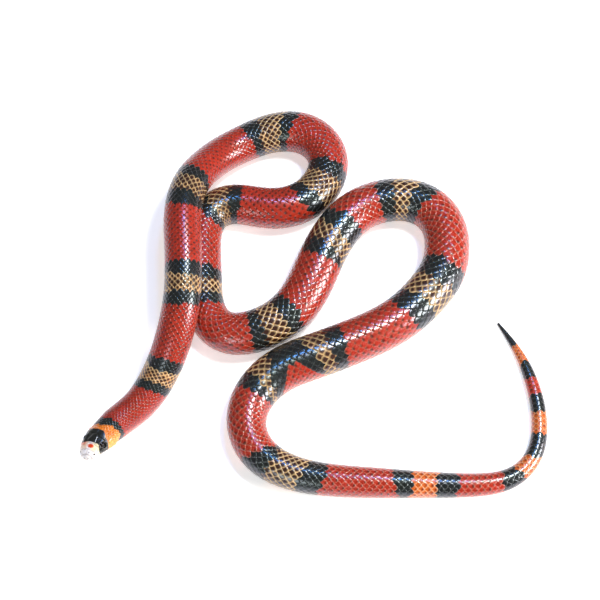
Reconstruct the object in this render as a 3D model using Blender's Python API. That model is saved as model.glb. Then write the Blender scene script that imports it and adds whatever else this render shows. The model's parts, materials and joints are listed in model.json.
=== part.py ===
"""Milk snake at life size, lying in loose coils on flat ground, as a still museum model.

The body is one long surface, parted by thin cuts into the head, neck, lengths of trunk and tail.
Sizes are in millimetres and become metres when a mesh is made. +Z is up, the snake rests on z = 0,
and the origin is on the ground under the middle of its outline.
"""
import math

import bmesh
import bpy
import numpy as np
from mathutils import Vector

MM = 0.001

# Line of the body from the snout to the tail tip: x, y, height of the belly above the ground, half width
ROUTE = [
    (-119.1, -93.6, 6.9, 8.3), (-116.8, -86, 5.2, 8.3), (-111.2, -78.8, 3, 8.3), (-108, -74.6, 1.8, 8.3),
    (-103.5, -70.3, 0.8, 8.4), (-94, -62, 0, 8.8), (-86.5, -51.5, 0.8, 9.4), (-79, -37.5, 7, 9.8),
    (-74.5, -25, 13.6, 10), (-71.5, -10, 18.3, 10), (-71, 4, 19.8, 10.1), (-71.5, 20, 20, 10.2),
    (-72.5, 36, 19.8, 10.3), (-71.5, 50, 18.4, 10.2), (-68, 62.5, 14.8, 10), (-61.5, 74, 9, 10),
    (-53, 84, 4, 10.1), (-44, 91, 0.9, 10.3), (-34, 96.5, 0, 10.6), (-20, 100.5, 0, 11.3),
    (-8, 99.8, 0, 11.6), (2.5, 93, 0, 11.5), (7.5, 81.5, 0, 11.3), (3.8, 67.5, 0, 11.4),
    (-5.5, 57, 0, 11.5), (-21, 52, 0, 11.4), (-36, 53.7, 0, 11.1), (-46, 55, 0, 11),
    (-54.5, 52.5, 0, 10.9), (-60.5, 46.5, 0, 10.8), (-62.7, 37.5, 0, 10.7), (-62.8, 26, 0, 10.6),
    (-61.8, 8, 0, 10.6), (-60.8, -5, 0, 10.7), (-55.8, -17, 0, 10.9), (-48.3, -22.2, 0, 11.2),
    (-39, -22.6, 0, 11.5), (-29.2, -20, 0, 11.8), (-19.5, -14.7, 0, 12), (-11, -6.5, 0, 12.2),
    (-3, 7, 0, 12.6), (3, 21.5, 0, 12.6), (9.5, 34.5, 0, 12.4), (19, 46.8, 0, 12.1), (31, 54.5, 0, 11.9),
    (43, 57.3, 0, 11.9), (55, 56.3, 0, 11.9), (64.5, 51, 0, 11.9), (70.3, 42.5, 0, 12.1),
    (72.3, 28, 0, 12.5), (69, 13, 0, 12.6), (61.5, 1.8, 0, 12.5), (49, -11, 0, 12.2),
    (34, -20.8, 0, 12.1), (17.5, -28.2, 0, 12.1), (-0.5, -35.4, 0, 12.2), (-13.3, -40.3, 0, 12),
    (-24.8, -47.4, 0, 11.7), (-33.7, -58.3, 0, 11.2), (-37.2, -72, 0, 10.6), (-31.5, -87.5, 0, 10),
    (-18.5, -97, 0, 9.4), (2, -102.2, 0, 8.6), (28, -104, 0, 8), (54, -104.8, 0, 7), (80, -105, 0, 6.2),
    (92, -104, 0, 5.8), (102, -100.8, 0, 5.3), (110, -94.5, 0, 4.8), (115.3, -86, 0, 4.5),
    (117.8, -74, 0, 4.3), (117.8, -62, 0, 4.05), (115.8, -50, 0, 3.7), (112.2, -37.5, 0, 3),
    (107.5, -27, 0, 2.1), (99.5, -13.5, 0, 0.7),
]

# Section of the body as shares of its half width, and of the head in millimetres
BACK = 0.95
BELLY = 0.9
BELLY_SQUARENESS = 2.6
BELLY_FLAT = 1.04
HEAD_END = 26.0
HEAD_WIDTH = [(0, 1.9), (0.6, 3.4), (2, 4.3), (4, 5.3), (6.5, 6.1), (9, 6.8), (12, 7.4), (15, 7.75),
              (18, 7.85), (22, 8.0), (HEAD_END, 8.35)]
HEAD_BACK = [(0, 0.9), (0.6, 1.9), (2, 2.7), (4, 3.4), (6.5, 4.0), (9, 4.5), (12, 5.0), (15, 5.5), (18, 6.0),
             (22, 6.9), (HEAD_END, 7.93)]
HEAD_BELLY = [(0, 0.9), (0.6, 1.7), (2, 2.3), (4, 2.8), (6.5, 3.4), (9, 4.0), (12, 4.6), (15, 5.3), (18, 6.0),
              (22, 6.9), (HEAD_END, 7.5)]
HEAD_RING_STEPS = [0.3, 0.9, 1.8, 3.0, 4.5, 6.2, 8.0, 10.0, 12.0, 14.5]
JAW_START = 0.5
NAPE_RINGS = [17.65, 19.2]
MOUTH_CORNER = 17.4
MOUTH_LEVEL = [(0, -0.5), (3.4, -0.7), (9, -1.2), (13.6, -2.0), (MOUTH_CORNER, -2.6)]
MOUTH_GAP = 0.3

# The head leans over, left side up: fully as far as the first distance, not at all from the second
HEAD_ROLL = 15
ROLL_SPAN = (12, 38)

EYE_AT = 10
EYE_RADIUS = 1.6
EYE_UP = 2.1
EYE_SUNK = 2.15
SOCKET_GAP = 0.3

# Where the cuts go, along the body from the snout
CUTS = [("neck", 21, 92), ("body_01", 92, 158), ("body_02", 158, 213), ("body_03", 213, 252),
        ("body_04", 252, 279), ("body_05", 279, 308), ("body_06", 308, 354), ("body_07", 354, 385),
        ("body_08", 385, 428), ("body_09", 428, 460), ("body_10", 460, 505), ("body_11", 505, 552),
        ("body_12", 552, 592), ("body_13", 592, 634), ("body_14", 634, 682), ("body_15", 682, 734),
        ("body_16", 734, 776), ("body_17", 776, 810), ("body_18", 810, 876), ("tail_base", 876, 945),
        ("tail_tip", 945, None)]
NODE_GAP = 0.4
TANGENT_REACH = 1.5
SHARP_ANGLE = 40
SIDES = 16
HEAD_SIDES = 20
EYE_SIDES = 14
EYE_RINGS = 9

# Belly scutes, broader than the real ones: each falls from its front edge to a flat, then steps up again
SCUTE_PITCH = 10.5
SCUTE_STEP = 0.35
SCUTE_STEP_SHARE = 0.1
SCUTE_FRONT = 2.4
SCUTE_REAR = 0.5
SCUTE_FROM = -0.35

# Plates of the head: distances from the snout, then angles from the top of the head, for the left side
PLATE_RISE = 0.28
PLATE_ROOT = 0.6
PLATE_SEAM = 0.12
PLATE_EDGE_DROP = 0.3
PLATE_CELLS = 2
PROBE_DEGREES = 2
SINGLE_PLATES = {"rostral": (0.35, 1.7, -42, 42), "frontal": (7.3, 11.8, -22, 22)}
PAIRED_PLATES = {
    "internasal": (1.9, 3.5, 2, 46), "prefrontal": (3.75, 7.0, 2, 56), "supraocular": (7.3, 12.0, 26, 45),
    "parietal": (12.3, 18.4, 2, 54), "nasal": (1.9, 3.75, 51, 84), "loreal": (4.0, 5.9, 60, 85),
    "preocular": (6.15, 7.95, 60, 83), "upper_postocular": (12.3, 13.9, 58, 71),
    "lower_postocular": (12.5, 13.8, 73, 84), "front_temporal": (14.2, 17.2, 58, 88),
}
LIP_PLATES = [1.8, 3.4, 5.2, 7.5, 10.0, 12.7, 15.3, 17.1]
LIP_TOP = [(0, 88), (6.0, 88), (8.0, 85), (12.5, 86), (14.5, 91), (MOUTH_CORNER, 93)]
LIP_MARGIN = 0.25
JAW_PLATES = [1.8, 3.6, 5.9, 8.6, 11.6, 14.4, 16.8]
JAW_PLATE_LOW = 1.4
CHIN_SHIELDS = {"front_chin": (4.5, 8.4, 154, 176), "rear_chin": (8.8, 13.2, 154, 175)}
NOSTRIL_AT = (2.7, 66)
NOSTRIL_LIFT = 0.1
NOSTRIL_RADIUS = 0.45
NOSTRIL_SIDES = 8
NOSTRIL_RINGS = 6
SAMPLE = 1.0
SMOOTHING = 4.0
FINE_STEPS = 4000

RED = (0.50, 0.035, 0.020, 1)
BLACK = (0.012, 0.013, 0.016, 1)
IVORY = (0.75, 0.66, 0.50, 1)


def cubic_through(knots, values, at):
    """Natural cubic spline through values at knots, read at other places."""
    step = np.diff(knots)
    n = len(knots)
    matrix = np.zeros((n, n))
    right = np.zeros((n, values.shape[1]))
    matrix[0, 0] = matrix[-1, -1] = 1.0
    for i in range(1, n - 1):
        matrix[i, i - 1:i + 2] = step[i - 1], 2 * (step[i - 1] + step[i]), step[i]
        right[i] = 6 * ((values[i + 1] - values[i]) / step[i] - (values[i] - values[i - 1]) / step[i - 1])
    bend = np.linalg.solve(matrix, right)
    i = np.clip(np.searchsorted(knots, at, side="right") - 1, 0, n - 2)
    h = step[i][:, None]
    a = ((knots[i + 1] - at)[:, None]) / h
    b = 1 - a
    bow = (a ** 3 - a) * bend[i] + (b ** 3 - b) * bend[i + 1]
    return a * values[i] + b * values[i + 1] + bow * h * h / 6


def trace_body():
    """Centre line, half width and their distances from the snout, one sample a millimetre."""
    points = np.array(ROUTE, float)
    points[:, 2] += BELLY * points[:, 3]
    knots = np.concatenate([[0], np.cumsum(np.linalg.norm(np.diff(points[:, :3], axis=0), axis=1))])
    fine = cubic_through(knots, points, np.linspace(0, knots[-1], FINE_STEPS))
    run = np.concatenate([[0], np.cumsum(np.linalg.norm(np.diff(fine[:, :3], axis=0), axis=1))])
    count = int(run[-1] / SAMPLE) + 1
    distance = np.linspace(0, run[-1], count)
    even = np.stack([np.interp(distance, run, fine[:, k]) for k in range(4)], axis=1)
    reach = int(3 * SMOOTHING / SAMPLE)
    weights = np.exp(-0.5 * (np.arange(-reach, reach + 1) * SAMPLE / SMOOTHING) ** 2)
    weights /= weights.sum()
    padded = np.concatenate([2 * even[0] - even[reach:0:-1], even, 2 * even[-1] - even[-2:-reach - 2:-1]])
    smooth = np.stack([np.convolve(padded[:, k], weights, "valid") for k in range(4)], axis=1)
    smooth[:, 2] = np.maximum(smooth[:, 2], BELLY * smooth[:, 3])
    return distance, smooth


DISTANCE, TRACE = trace_body()
LENGTH = DISTANCE[-1]


def roll(at):
    """Lean of the body's section at a distance from the snout, in radians."""
    share = min(1.0, max(0.0, (at - ROLL_SPAN[0]) / (ROLL_SPAN[1] - ROLL_SPAN[0])))
    return math.radians(HEAD_ROLL) * (1 - share * share * (3 - 2 * share))


def along(at):
    """Centre, half width and the directions left and up at a distance from the snout."""
    row = np.array([np.interp(at, DISTANCE, TRACE[:, k]) for k in range(4)])
    ends = [np.array([np.interp(d, DISTANCE, TRACE[:, k]) for k in range(3)])
            for d in (max(at - TANGENT_REACH, 0), min(at + TANGENT_REACH, LENGTH))]
    back = ends[1] - ends[0]
    back /= np.linalg.norm(back)
    level = np.cross(back, (0, 0, 1))
    level /= np.linalg.norm(level)
    upright = np.cross(level, back)
    sine, cosine = math.sin(roll(at)), math.cos(roll(at))
    return row[:3], row[3], level * cosine + upright * sine, upright * cosine - level * sine


def head_size(table, at):
    return float(np.interp(at, [row[0] for row in table], [row[1] for row in table]))


def sizes(at, half_width):
    """Half width, height of the back and depth of the belly at a distance from the snout."""
    if at < HEAD_END:
        return tuple(head_size(table, at) for table in (HEAD_WIDTH, HEAD_BACK, HEAD_BELLY))
    return half_width, BACK * half_width, BELLY * half_width


def section_point(angle, width, back, belly):
    """Point of a section, as distances to the left and up, at an angle from the top of the back."""
    sine, cosine = math.sin(angle), math.cos(angle)
    if cosine >= 0:
        return width * sine, back * cosine
    power = 2 / BELLY_SQUARENESS
    side = width * math.copysign(abs(sine) ** power, sine)
    return side, max(-belly, -belly * BELLY_FLAT * abs(cosine) ** power)


def ring(at, sides=SIDES, floor=None, roof=None, step=0.0):
    """One ring of points around the body, held above a floor or below a roof level where given."""
    centre, half_width, left, up = along(at)
    width, back, belly = sizes(at, half_width)
    points = []
    for k in range(sides):
        angle = (k + 0.5) * 2 * math.pi / sides
        side, rise = section_point(angle, width, back, belly)
        if math.cos(angle) < SCUTE_FROM:
            rise = max(rise, step - belly)
        if floor is not None:
            rise = max(rise, floor)
        if roof is not None:
            rise = min(rise, roof)
        points.append(centre + side * left + rise * up)
    return points


def skin_point(at, degrees, lift):
    """Point at an angle from the top of the head, lifted along the section's outward direction."""
    centre, half_width, left, up = along(at)
    angle = math.radians(degrees)
    here = np.array(section_point(angle, *sizes(at, half_width)))
    turn = math.radians(PROBE_DEGREES)
    ahead = np.array(section_point(angle + turn, *sizes(at, half_width)))
    behind = np.array(section_point(angle - turn, *sizes(at, half_width)))
    run = (ahead - behind) / np.linalg.norm(ahead - behind)
    side, rise = here + lift * np.array([-run[1], run[0]])
    return centre + side * left + rise * up


def loft(rings):
    """Closed mesh through rings with the same number of points, with flat ends."""
    mesh = bmesh.new()
    rows = [[mesh.verts.new(Vector(p) * MM) for p in points] for points in rings]
    for a, b in zip(rows, rows[1:]):
        for k in range(len(a)):
            n = (k + 1) % len(a)
            mesh.faces.new((a[k], a[n], b[n], b[k]))
    mesh.faces.new(rows[0])
    mesh.faces.new(list(reversed(rows[-1])))
    bmesh.ops.triangulate(mesh, faces=mesh.faces)
    bmesh.ops.recalc_face_normals(mesh, faces=mesh.faces)
    return mesh


def material(name, colour, roughness):
    made = bpy.data.materials.new(name)
    made.use_nodes = True
    shader = made.node_tree.nodes["Principled BSDF"]
    shader.inputs["Base Color"].default_value = colour
    shader.inputs["Roughness"].default_value = roughness
    return made


def add_node(name, mesh, finish):
    data = bpy.data.meshes.new(name)
    mesh.to_mesh(data)
    mesh.free()
    data.shade_smooth()
    data.set_sharp_from_angle(angle=math.radians(SHARP_ANGLE))
    data.materials.append(finish)
    node = bpy.data.objects.new(name, data)
    bpy.context.collection.objects.link(node)
    return node


def body_length(name, start, end, finish):
    """One length of the body between two cuts."""
    end = LENGTH if end is None else end
    first = start + NODE_GAP / 2
    last = end - NODE_GAP / 2 if end < LENGTH else LENGTH
    edges = np.linspace(first, last, max(2, round((last - first) / SCUTE_PITCH)) + 1)
    rings = []
    for front, rear in zip(edges, edges[1:]):
        step = min(SCUTE_STEP, SCUTE_STEP_SHARE * along(front)[1])
        rings.append(ring(front, step=step))
        rings.append(ring(front + SCUTE_FRONT))
        rings.append(ring(rear if rear == last else rear - SCUTE_REAR))
    return add_node(name, loft(rings), finish)


def ball(centre, radius, segments, rings):
    mesh = bmesh.new()
    bmesh.ops.create_uvsphere(mesh, u_segments=segments, v_segments=rings, radius=radius * MM)
    bmesh.ops.translate(mesh, verts=mesh.verts, vec=Vector(centre) * MM)
    return mesh


def eye_centre(side):
    centre, half_width, left, up = along(EYE_AT)
    width = sizes(EYE_AT, half_width)[0]
    return centre + side * (width - EYE_SUNK) * left + EYE_UP * up


def boolean(node, meshes, operation):
    """Joins closed meshes to a node, or cuts them out, and keeps its largest closed surface."""
    group = bpy.data.collections.new("tools")
    bpy.context.scene.collection.children.link(group)
    for k, mesh in enumerate(meshes):
        data = bpy.data.meshes.new(f"tool_{k}")
        mesh.to_mesh(data)
        mesh.free()
        group.objects.link(bpy.data.objects.new(f"tool_{k}", data))
    change = node.modifiers.new("shape", "BOOLEAN")
    change.operand_type = "COLLECTION"
    change.collection = group
    change.operation = operation
    change.solver = "EXACT"
    result = bpy.data.meshes.new_from_object(node.evaluated_get(bpy.context.evaluated_depsgraph_get()))
    node.modifiers.clear()
    node.data = result
    for tool in list(group.objects):
        bpy.data.objects.remove(tool)
    bpy.data.collections.remove(group)
    keep_largest(node)


def keep_largest(node):
    """Keeps the largest connected surface of a node's mesh."""
    mesh = bmesh.new()
    mesh.from_mesh(node.data)
    bmesh.ops.remove_doubles(mesh, verts=mesh.verts, dist=0.000001)
    left = set(mesh.verts)
    groups = []
    while left:
        group = {left.pop()}
        front = list(group)
        while front:
            vertex = front.pop()
            for edge in vertex.link_edges:
                other = edge.other_vert(vertex)
                if other in left:
                    left.discard(other)
                    group.add(other)
                    front.append(other)
        groups.append(group)
    groups.sort(key=len)
    for group in groups[:-1]:
        bmesh.ops.delete(mesh, geom=list(group), context="VERTS")
    bmesh.ops.triangulate(mesh, faces=mesh.faces)
    mesh.to_mesh(node.data)
    mesh.free()


def plate(front, rear, low, high, mirror=1):
    """Raised plate between two distances from the snout and two angles, rooted in the head.

    The angles may each be a number or a pair, for the front and the rear edge."""
    lows = low if isinstance(low, tuple) else (low, low)
    highs = high if isinstance(high, tuple) else (high, high)
    layers = []
    for lift in (-PLATE_ROOT, PLATE_RISE):
        inset = PLATE_SEAM if lift > 0 else 0.0
        grid = []
        for i in range(PLATE_CELLS + 1):
            share = i / PLATE_CELLS
            at = front + inset + (rear - front - 2 * inset) * share
            a = lows[0] + (lows[1] - lows[0]) * share
            b = highs[0] + (highs[1] - highs[0]) * share
            row = []
            for j in range(PLATE_CELLS + 1):
                edges = (i in (0, PLATE_CELLS)) + (j in (0, PLATE_CELLS))
                drop = edges * PLATE_EDGE_DROP * max(lift, 0)
                row.append(skin_point(at, mirror * (a + (b - a) * j / PLATE_CELLS), lift - drop))
            grid.append(row)
        layers.append(grid)
    mesh = bmesh.new()
    low_grid, high_grid = [[[mesh.verts.new(Vector(p) * MM) for p in row] for row in grid] for grid in layers]
    for i in range(PLATE_CELLS):
        for j in range(PLATE_CELLS):
            for grid in (low_grid, high_grid):
                mesh.faces.new((grid[i][j], grid[i + 1][j], grid[i + 1][j + 1], grid[i][j + 1]))
    rim = [(0, 0), (0, 1), (0, 2), (1, 2), (2, 2), (2, 1), (2, 0), (1, 0)]
    for (i, j), (m, n) in zip(rim, rim[1:] + rim[:1]):
        mesh.faces.new((low_grid[i][j], low_grid[m][n], high_grid[m][n], high_grid[i][j]))
    bmesh.ops.triangulate(mesh, faces=mesh.faces)
    bmesh.ops.recalc_face_normals(mesh, faces=mesh.faces)
    return mesh


def angle_at_rise(at, rise):
    """Angle from the top of the head, in degrees, at which the lower section is at a height."""
    belly = sizes(at, along(at)[1])[2]
    share = min(1.0, max(0.0, -rise / (belly * BELLY_FLAT)))
    return 180 - math.degrees(math.acos(share ** (BELLY_SQUARENESS / 2)))


def head_plates():
    meshes = [plate(*span) for span in SINGLE_PLATES.values()]
    for mirror in (1, -1):
        meshes += [plate(*span, mirror) for span in PAIRED_PLATES.values()]
        for front, rear in zip(LIP_PLATES, LIP_PLATES[1:]):
            tops = tuple(head_size(LIP_TOP, at) for at in (front, rear))
            lips = tuple(angle_at_rise(at, head_size(MOUTH_LEVEL, at) + LIP_MARGIN) for at in (front, rear))
            meshes.append(plate(front + PLATE_SEAM, rear - PLATE_SEAM, tops, lips, mirror))
    return meshes


def jaw_plates():
    meshes = []
    for mirror in (1, -1):
        meshes += [plate(*span, mirror) for span in CHIN_SHIELDS.values()]
        for front, rear in zip(JAW_PLATES, JAW_PLATES[1:]):
            top, low = [tuple(angle_at_rise(at, head_size(MOUTH_LEVEL, at) - drop) for at in (front, rear))
                        for drop in (MOUTH_GAP + LIP_MARGIN, JAW_PLATE_LOW)]
            meshes.append(plate(front + PLATE_SEAM, rear - PLATE_SEAM, top, low, mirror))
    return meshes


def head(finish):
    """Upper head and nape, open below for the lower jaw as far back as the corner of the mouth."""
    front = [0.0] + HEAD_RING_STEPS + [MOUTH_CORNER]
    nape = NAPE_RINGS + [CUTS[0][1] - NODE_GAP / 2]
    rings = [ring(at, HEAD_SIDES, floor=head_size(MOUTH_LEVEL, at)) for at in front]
    rings += [ring(at, HEAD_SIDES) for at in nape]
    node = add_node("head", loft(rings), finish)
    boolean(node, head_plates(), "UNION")
    sockets = [ball(eye_centre(side), EYE_RADIUS + SOCKET_GAP, EYE_SIDES, EYE_RINGS) for side in (1, -1)]
    nostrils = [ball(skin_point(NOSTRIL_AT[0], side * NOSTRIL_AT[1], NOSTRIL_LIFT), NOSTRIL_RADIUS,
                     NOSTRIL_SIDES, NOSTRIL_RINGS) for side in (1, -1)]
    boolean(node, sockets + nostrils, "DIFFERENCE")
    return node


def lower_jaw(finish):
    stations = [JAW_START] + HEAD_RING_STEPS[1:] + [MOUTH_CORNER - MOUTH_GAP]
    rings = [ring(at, HEAD_SIDES, roof=head_size(MOUTH_LEVEL, at) - MOUTH_GAP) for at in stations]
    node = add_node("lower_jaw", loft(rings), finish)
    boolean(node, jaw_plates(), "UNION")
    return node


def main():
    for old in list(bpy.data.objects):
        bpy.data.objects.remove(old)
    red = material("scales_red", RED, 0.3)
    black = material("scales_black", BLACK, 0.25)
    ivory = material("scales_ivory", IVORY, 0.35)
    glass = material("eye_spectacle", BLACK, 0.05)
    head(black)
    lower_jaw(ivory)
    add_node("eye_left", ball(eye_centre(1), EYE_RADIUS, EYE_SIDES, EYE_RINGS), glass)
    add_node("eye_right", ball(eye_centre(-1), EYE_RADIUS, EYE_SIDES, EYE_RINGS), glass)
    for name, start, end in CUTS:
        body_length(name, start, end, red)


main()
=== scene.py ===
# %% [markdown]
# A milk snake lies in loose coils on a pale floor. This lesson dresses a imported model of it.
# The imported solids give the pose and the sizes. Each step below makes one layer of the animal: the
# skin, the plates of the head, the coat of scales, the broad scutes of the belly, and the eyes.

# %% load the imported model
import json
import math

import bpy
import numpy as np
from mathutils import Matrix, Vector

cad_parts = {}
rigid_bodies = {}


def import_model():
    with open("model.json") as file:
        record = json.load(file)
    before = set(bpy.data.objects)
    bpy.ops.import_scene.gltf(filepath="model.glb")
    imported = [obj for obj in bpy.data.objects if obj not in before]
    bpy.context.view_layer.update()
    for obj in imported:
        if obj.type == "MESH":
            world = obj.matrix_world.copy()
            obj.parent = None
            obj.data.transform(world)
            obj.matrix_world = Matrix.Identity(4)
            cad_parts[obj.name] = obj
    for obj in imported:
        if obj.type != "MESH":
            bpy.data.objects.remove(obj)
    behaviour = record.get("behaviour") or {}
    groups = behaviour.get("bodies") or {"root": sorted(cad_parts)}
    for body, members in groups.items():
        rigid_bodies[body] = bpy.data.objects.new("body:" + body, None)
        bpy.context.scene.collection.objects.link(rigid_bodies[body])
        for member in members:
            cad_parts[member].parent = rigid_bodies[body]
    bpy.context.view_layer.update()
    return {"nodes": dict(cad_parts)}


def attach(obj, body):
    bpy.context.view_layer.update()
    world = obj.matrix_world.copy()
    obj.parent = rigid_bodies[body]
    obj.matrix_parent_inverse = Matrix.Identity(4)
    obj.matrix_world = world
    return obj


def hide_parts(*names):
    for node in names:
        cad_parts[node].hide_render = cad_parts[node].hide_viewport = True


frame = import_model()

# %% [markdown]
# All sizes in this script are millimetres, as a person would measure a snake, and one factor turns
# them to metres when a mesh is made. Colours are sRGB hex values, as a paint picker gives them, and
# one function turns them to the linear light that shaders work in.

# %% units and colours
MM = 0.001


def linear(hex_colour):
    """Linear RGBA of an sRGB hex colour."""
    parts = [int(hex_colour[k:k + 2], 16) / 255 for k in (0, 2, 4)]
    return [p / 12.92 if p <= 0.04045 else ((p + 0.055) / 1.055) ** 2.4 for p in parts] + [1.0]


def smooth_step(low, high, value):
    share = np.clip((value - low) / (high - low), 0, 1)
    return share * share * (3 - 2 * share)


print("pure red in linear light:", linear("FF0000"))

# %% [markdown]
# ## The line of the body
# A snake is one long tube, so everything hangs on its middle line. The line is a smooth curve through
# listed points, the same ones that the imported solids were made from. Each point holds its place,
# how high the belly is above the ground there, and half the body's width. A natural cubic spline joins
# them, because it has no kinks, and a short blur takes out the last unevenness of the listed points.

# %% route of the body
ROUTE = [
    (-119.1, -93.6, 6.9, 8.3), (-116.8, -86, 5.2, 8.3), (-111.2, -78.8, 3, 8.3), (-108, -74.6, 1.8, 8.3),
    (-103.5, -70.3, 0.8, 8.4), (-94, -62, 0, 8.8), (-86.5, -51.5, 0.8, 9.4), (-79, -37.5, 7, 9.8),
    (-74.5, -25, 13.6, 10), (-71.5, -10, 18.3, 10), (-71, 4, 19.8, 10.1), (-71.5, 20, 20, 10.2),
    (-72.5, 36, 19.8, 10.3), (-71.5, 50, 18.4, 10.2), (-68, 62.5, 14.8, 10), (-61.5, 74, 9, 10),
    (-53, 84, 4, 10.1), (-44, 91, 0.9, 10.3), (-34, 96.5, 0, 10.6), (-20, 100.5, 0, 11.3),
    (-8, 99.8, 0, 11.6), (2.5, 93, 0, 11.5), (7.5, 81.5, 0, 11.3), (3.8, 67.5, 0, 11.4),
    (-5.5, 57, 0, 11.5), (-21, 52, 0, 11.4), (-36, 53.7, 0, 11.1), (-46, 55, 0, 11),
    (-54.5, 52.5, 0, 10.9), (-60.5, 46.5, 0, 10.8), (-62.7, 37.5, 0, 10.7), (-62.8, 26, 0, 10.6),
    (-61.8, 8, 0, 10.6), (-60.8, -5, 0, 10.7), (-55.8, -17, 0, 10.9), (-48.3, -22.2, 0, 11.2),
    (-39, -22.6, 0, 11.5), (-29.2, -20, 0, 11.8), (-19.5, -14.7, 0, 12), (-11, -6.5, 0, 12.2),
    (-3, 7, 0, 12.6), (3, 21.5, 0, 12.6), (9.5, 34.5, 0, 12.4), (19, 46.8, 0, 12.1), (31, 54.5, 0, 11.9),
    (43, 57.3, 0, 11.9), (55, 56.3, 0, 11.9), (64.5, 51, 0, 11.9), (70.3, 42.5, 0, 12.1),
    (72.3, 28, 0, 12.5), (69, 13, 0, 12.6), (61.5, 1.8, 0, 12.5), (49, -11, 0, 12.2),
    (34, -20.8, 0, 12.1), (17.5, -28.2, 0, 12.1), (-0.5, -35.4, 0, 12.2), (-13.3, -40.3, 0, 12),
    (-24.8, -47.4, 0, 11.7), (-33.7, -58.3, 0, 11.2), (-37.2, -72, 0, 10.6), (-31.5, -87.5, 0, 10),
    (-18.5, -97, 0, 9.4), (2, -102.2, 0, 8.6), (28, -104, 0, 8), (54, -104.8, 0, 7), (80, -105, 0, 6.2),
    (92, -104, 0, 5.8), (102, -100.8, 0, 5.3), (110, -94.5, 0, 4.8), (115.3, -86, 0, 4.5),
    (117.8, -74, 0, 4.3), (117.8, -62, 0, 4.05), (115.8, -50, 0, 3.7), (112.2, -37.5, 0, 3),
    (107.5, -27, 0, 2.1), (99.5, -13.5, 0, 0.7),
]
BACK = 0.95
BELLY = 0.9
SMOOTHING = 4.0
FINE_STEPS = 4000


def cubic_through(knots, values, at):
    """Natural cubic spline through values at knots, read at other places."""
    step = np.diff(knots)
    n = len(knots)
    matrix = np.zeros((n, n))
    right = np.zeros((n, values.shape[1]))
    matrix[0, 0] = matrix[-1, -1] = 1.0
    for i in range(1, n - 1):
        matrix[i, i - 1:i + 2] = step[i - 1], 2 * (step[i - 1] + step[i]), step[i]
        right[i] = 6 * ((values[i + 1] - values[i]) / step[i] - (values[i] - values[i - 1]) / step[i - 1])
    bend = np.linalg.solve(matrix, right)
    i = np.clip(np.searchsorted(knots, at, side="right") - 1, 0, n - 2)
    h = step[i][:, None]
    a = ((knots[i + 1] - at)[:, None]) / h
    b = 1 - a
    bow = (a ** 3 - a) * bend[i] + (b ** 3 - b) * bend[i + 1]
    return a * values[i] + b * values[i + 1] + bow * h * h / 6


def blur(rows, sigma):
    """Rows blurred along their order, with both ends held in place."""
    reach = int(3 * sigma)
    weights = np.exp(-0.5 * (np.arange(-reach, reach + 1) / sigma) ** 2)
    weights /= weights.sum()
    padded = np.concatenate([2 * rows[0] - rows[reach:0:-1], rows, 2 * rows[-1] - rows[-2:-reach - 2:-1]])
    return np.stack([np.convolve(padded[:, k], weights, "valid") for k in range(rows.shape[1])], axis=1)


def trace_body():
    """Distance from the snout, centre and half width, one sample a millimetre."""
    points = np.array(ROUTE, float)
    points[:, 2] += BELLY * points[:, 3]
    knots = np.concatenate([[0], np.cumsum(np.linalg.norm(np.diff(points[:, :3], axis=0), axis=1))])
    fine = cubic_through(knots, points, np.linspace(0, knots[-1], FINE_STEPS))
    run = np.concatenate([[0], np.cumsum(np.linalg.norm(np.diff(fine[:, :3], axis=0), axis=1))])
    distance = np.linspace(0, run[-1], int(run[-1]) + 1)
    rows = blur(np.stack([np.interp(distance, run, fine[:, k]) for k in range(4)], axis=1), SMOOTHING)
    rows[:, 2] = np.maximum(rows[:, 2], BELLY * rows[:, 3])
    return distance, rows


DISTANCE, TRACE = trace_body()
LENGTH = DISTANCE[-1]
print("snake length in mm:", round(LENGTH), "widest:", round(2 * TRACE[:, 3].max(), 1))

# %% [markdown]
# ## The surface, as a map
# Any point of the body is found by three numbers: the distance from the snout, the angle from the top
# of the back, and how far it stands off the surface. With that map, scales can be laid out flat like a
# tanned pelt and then wrapped round the coils, so they follow every bend with no stretching by hand.
# The section is an ellipse above, and a flatter, squarer curve below, where the belly presses the floor.

# %% sections of the head and the body
HEAD_END = 26.0
BELLY_SQUARENESS = 2.6
BELLY_FLAT = 1.04
HEAD_PLACES = [-0.5, 0, 0.6, 2, 4, 6.5, 9, 12, 15, 18, 22, HEAD_END]
HEAD_WIDTH = [0.02, 1.9, 3.4, 4.3, 5.3, 6.1, 6.8, 7.4, 7.75, 7.85, 8.0, 8.35]
HEAD_BACK = [0.02, 0.9, 1.9, 2.7, 3.4, 4.0, 4.5, 5.0, 5.5, 6.0, 6.9, 7.93]
HEAD_BELLY = [0.02, 0.9, 1.7, 2.3, 2.8, 3.4, 4.0, 4.6, 5.3, 6.0, 6.9, 7.5]
HEAD_GRID = np.arange(-0.5, HEAD_END + 2, 0.05)
HEAD_BLUR = 12


def head_curve(values, share):
    """A size of the head along its length, smoothed, running into the body's own size."""
    raw = np.interp(HEAD_GRID, HEAD_PLACES, values)
    body = share * np.interp(HEAD_GRID, DISTANCE, TRACE[:, 3])
    raw = np.where(HEAD_GRID > HEAD_END, body, raw)
    return blur(raw[:, None], HEAD_BLUR)[:, 0]


HEAD_SIZES = [head_curve(HEAD_WIDTH, 1.0), head_curve(HEAD_BACK, BACK), head_curve(HEAD_BELLY, BELLY)]
TAIL_CAP = 0.6


def sizes(at):
    """Half width, height of the back and depth of the belly at distances from the snout."""
    half = np.interp(at, DISTANCE, TRACE[:, 3])
    half = half * np.sqrt(np.clip(1 - (np.maximum(at - LENGTH, 0) / TAIL_CAP) ** 2, 0.0004, 1))
    found = []
    for share, curve in zip((1.0, BACK, BELLY), HEAD_SIZES):
        found.append(np.where(at < HEAD_END, np.interp(at, HEAD_GRID, curve), share * half))
    return found


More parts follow.
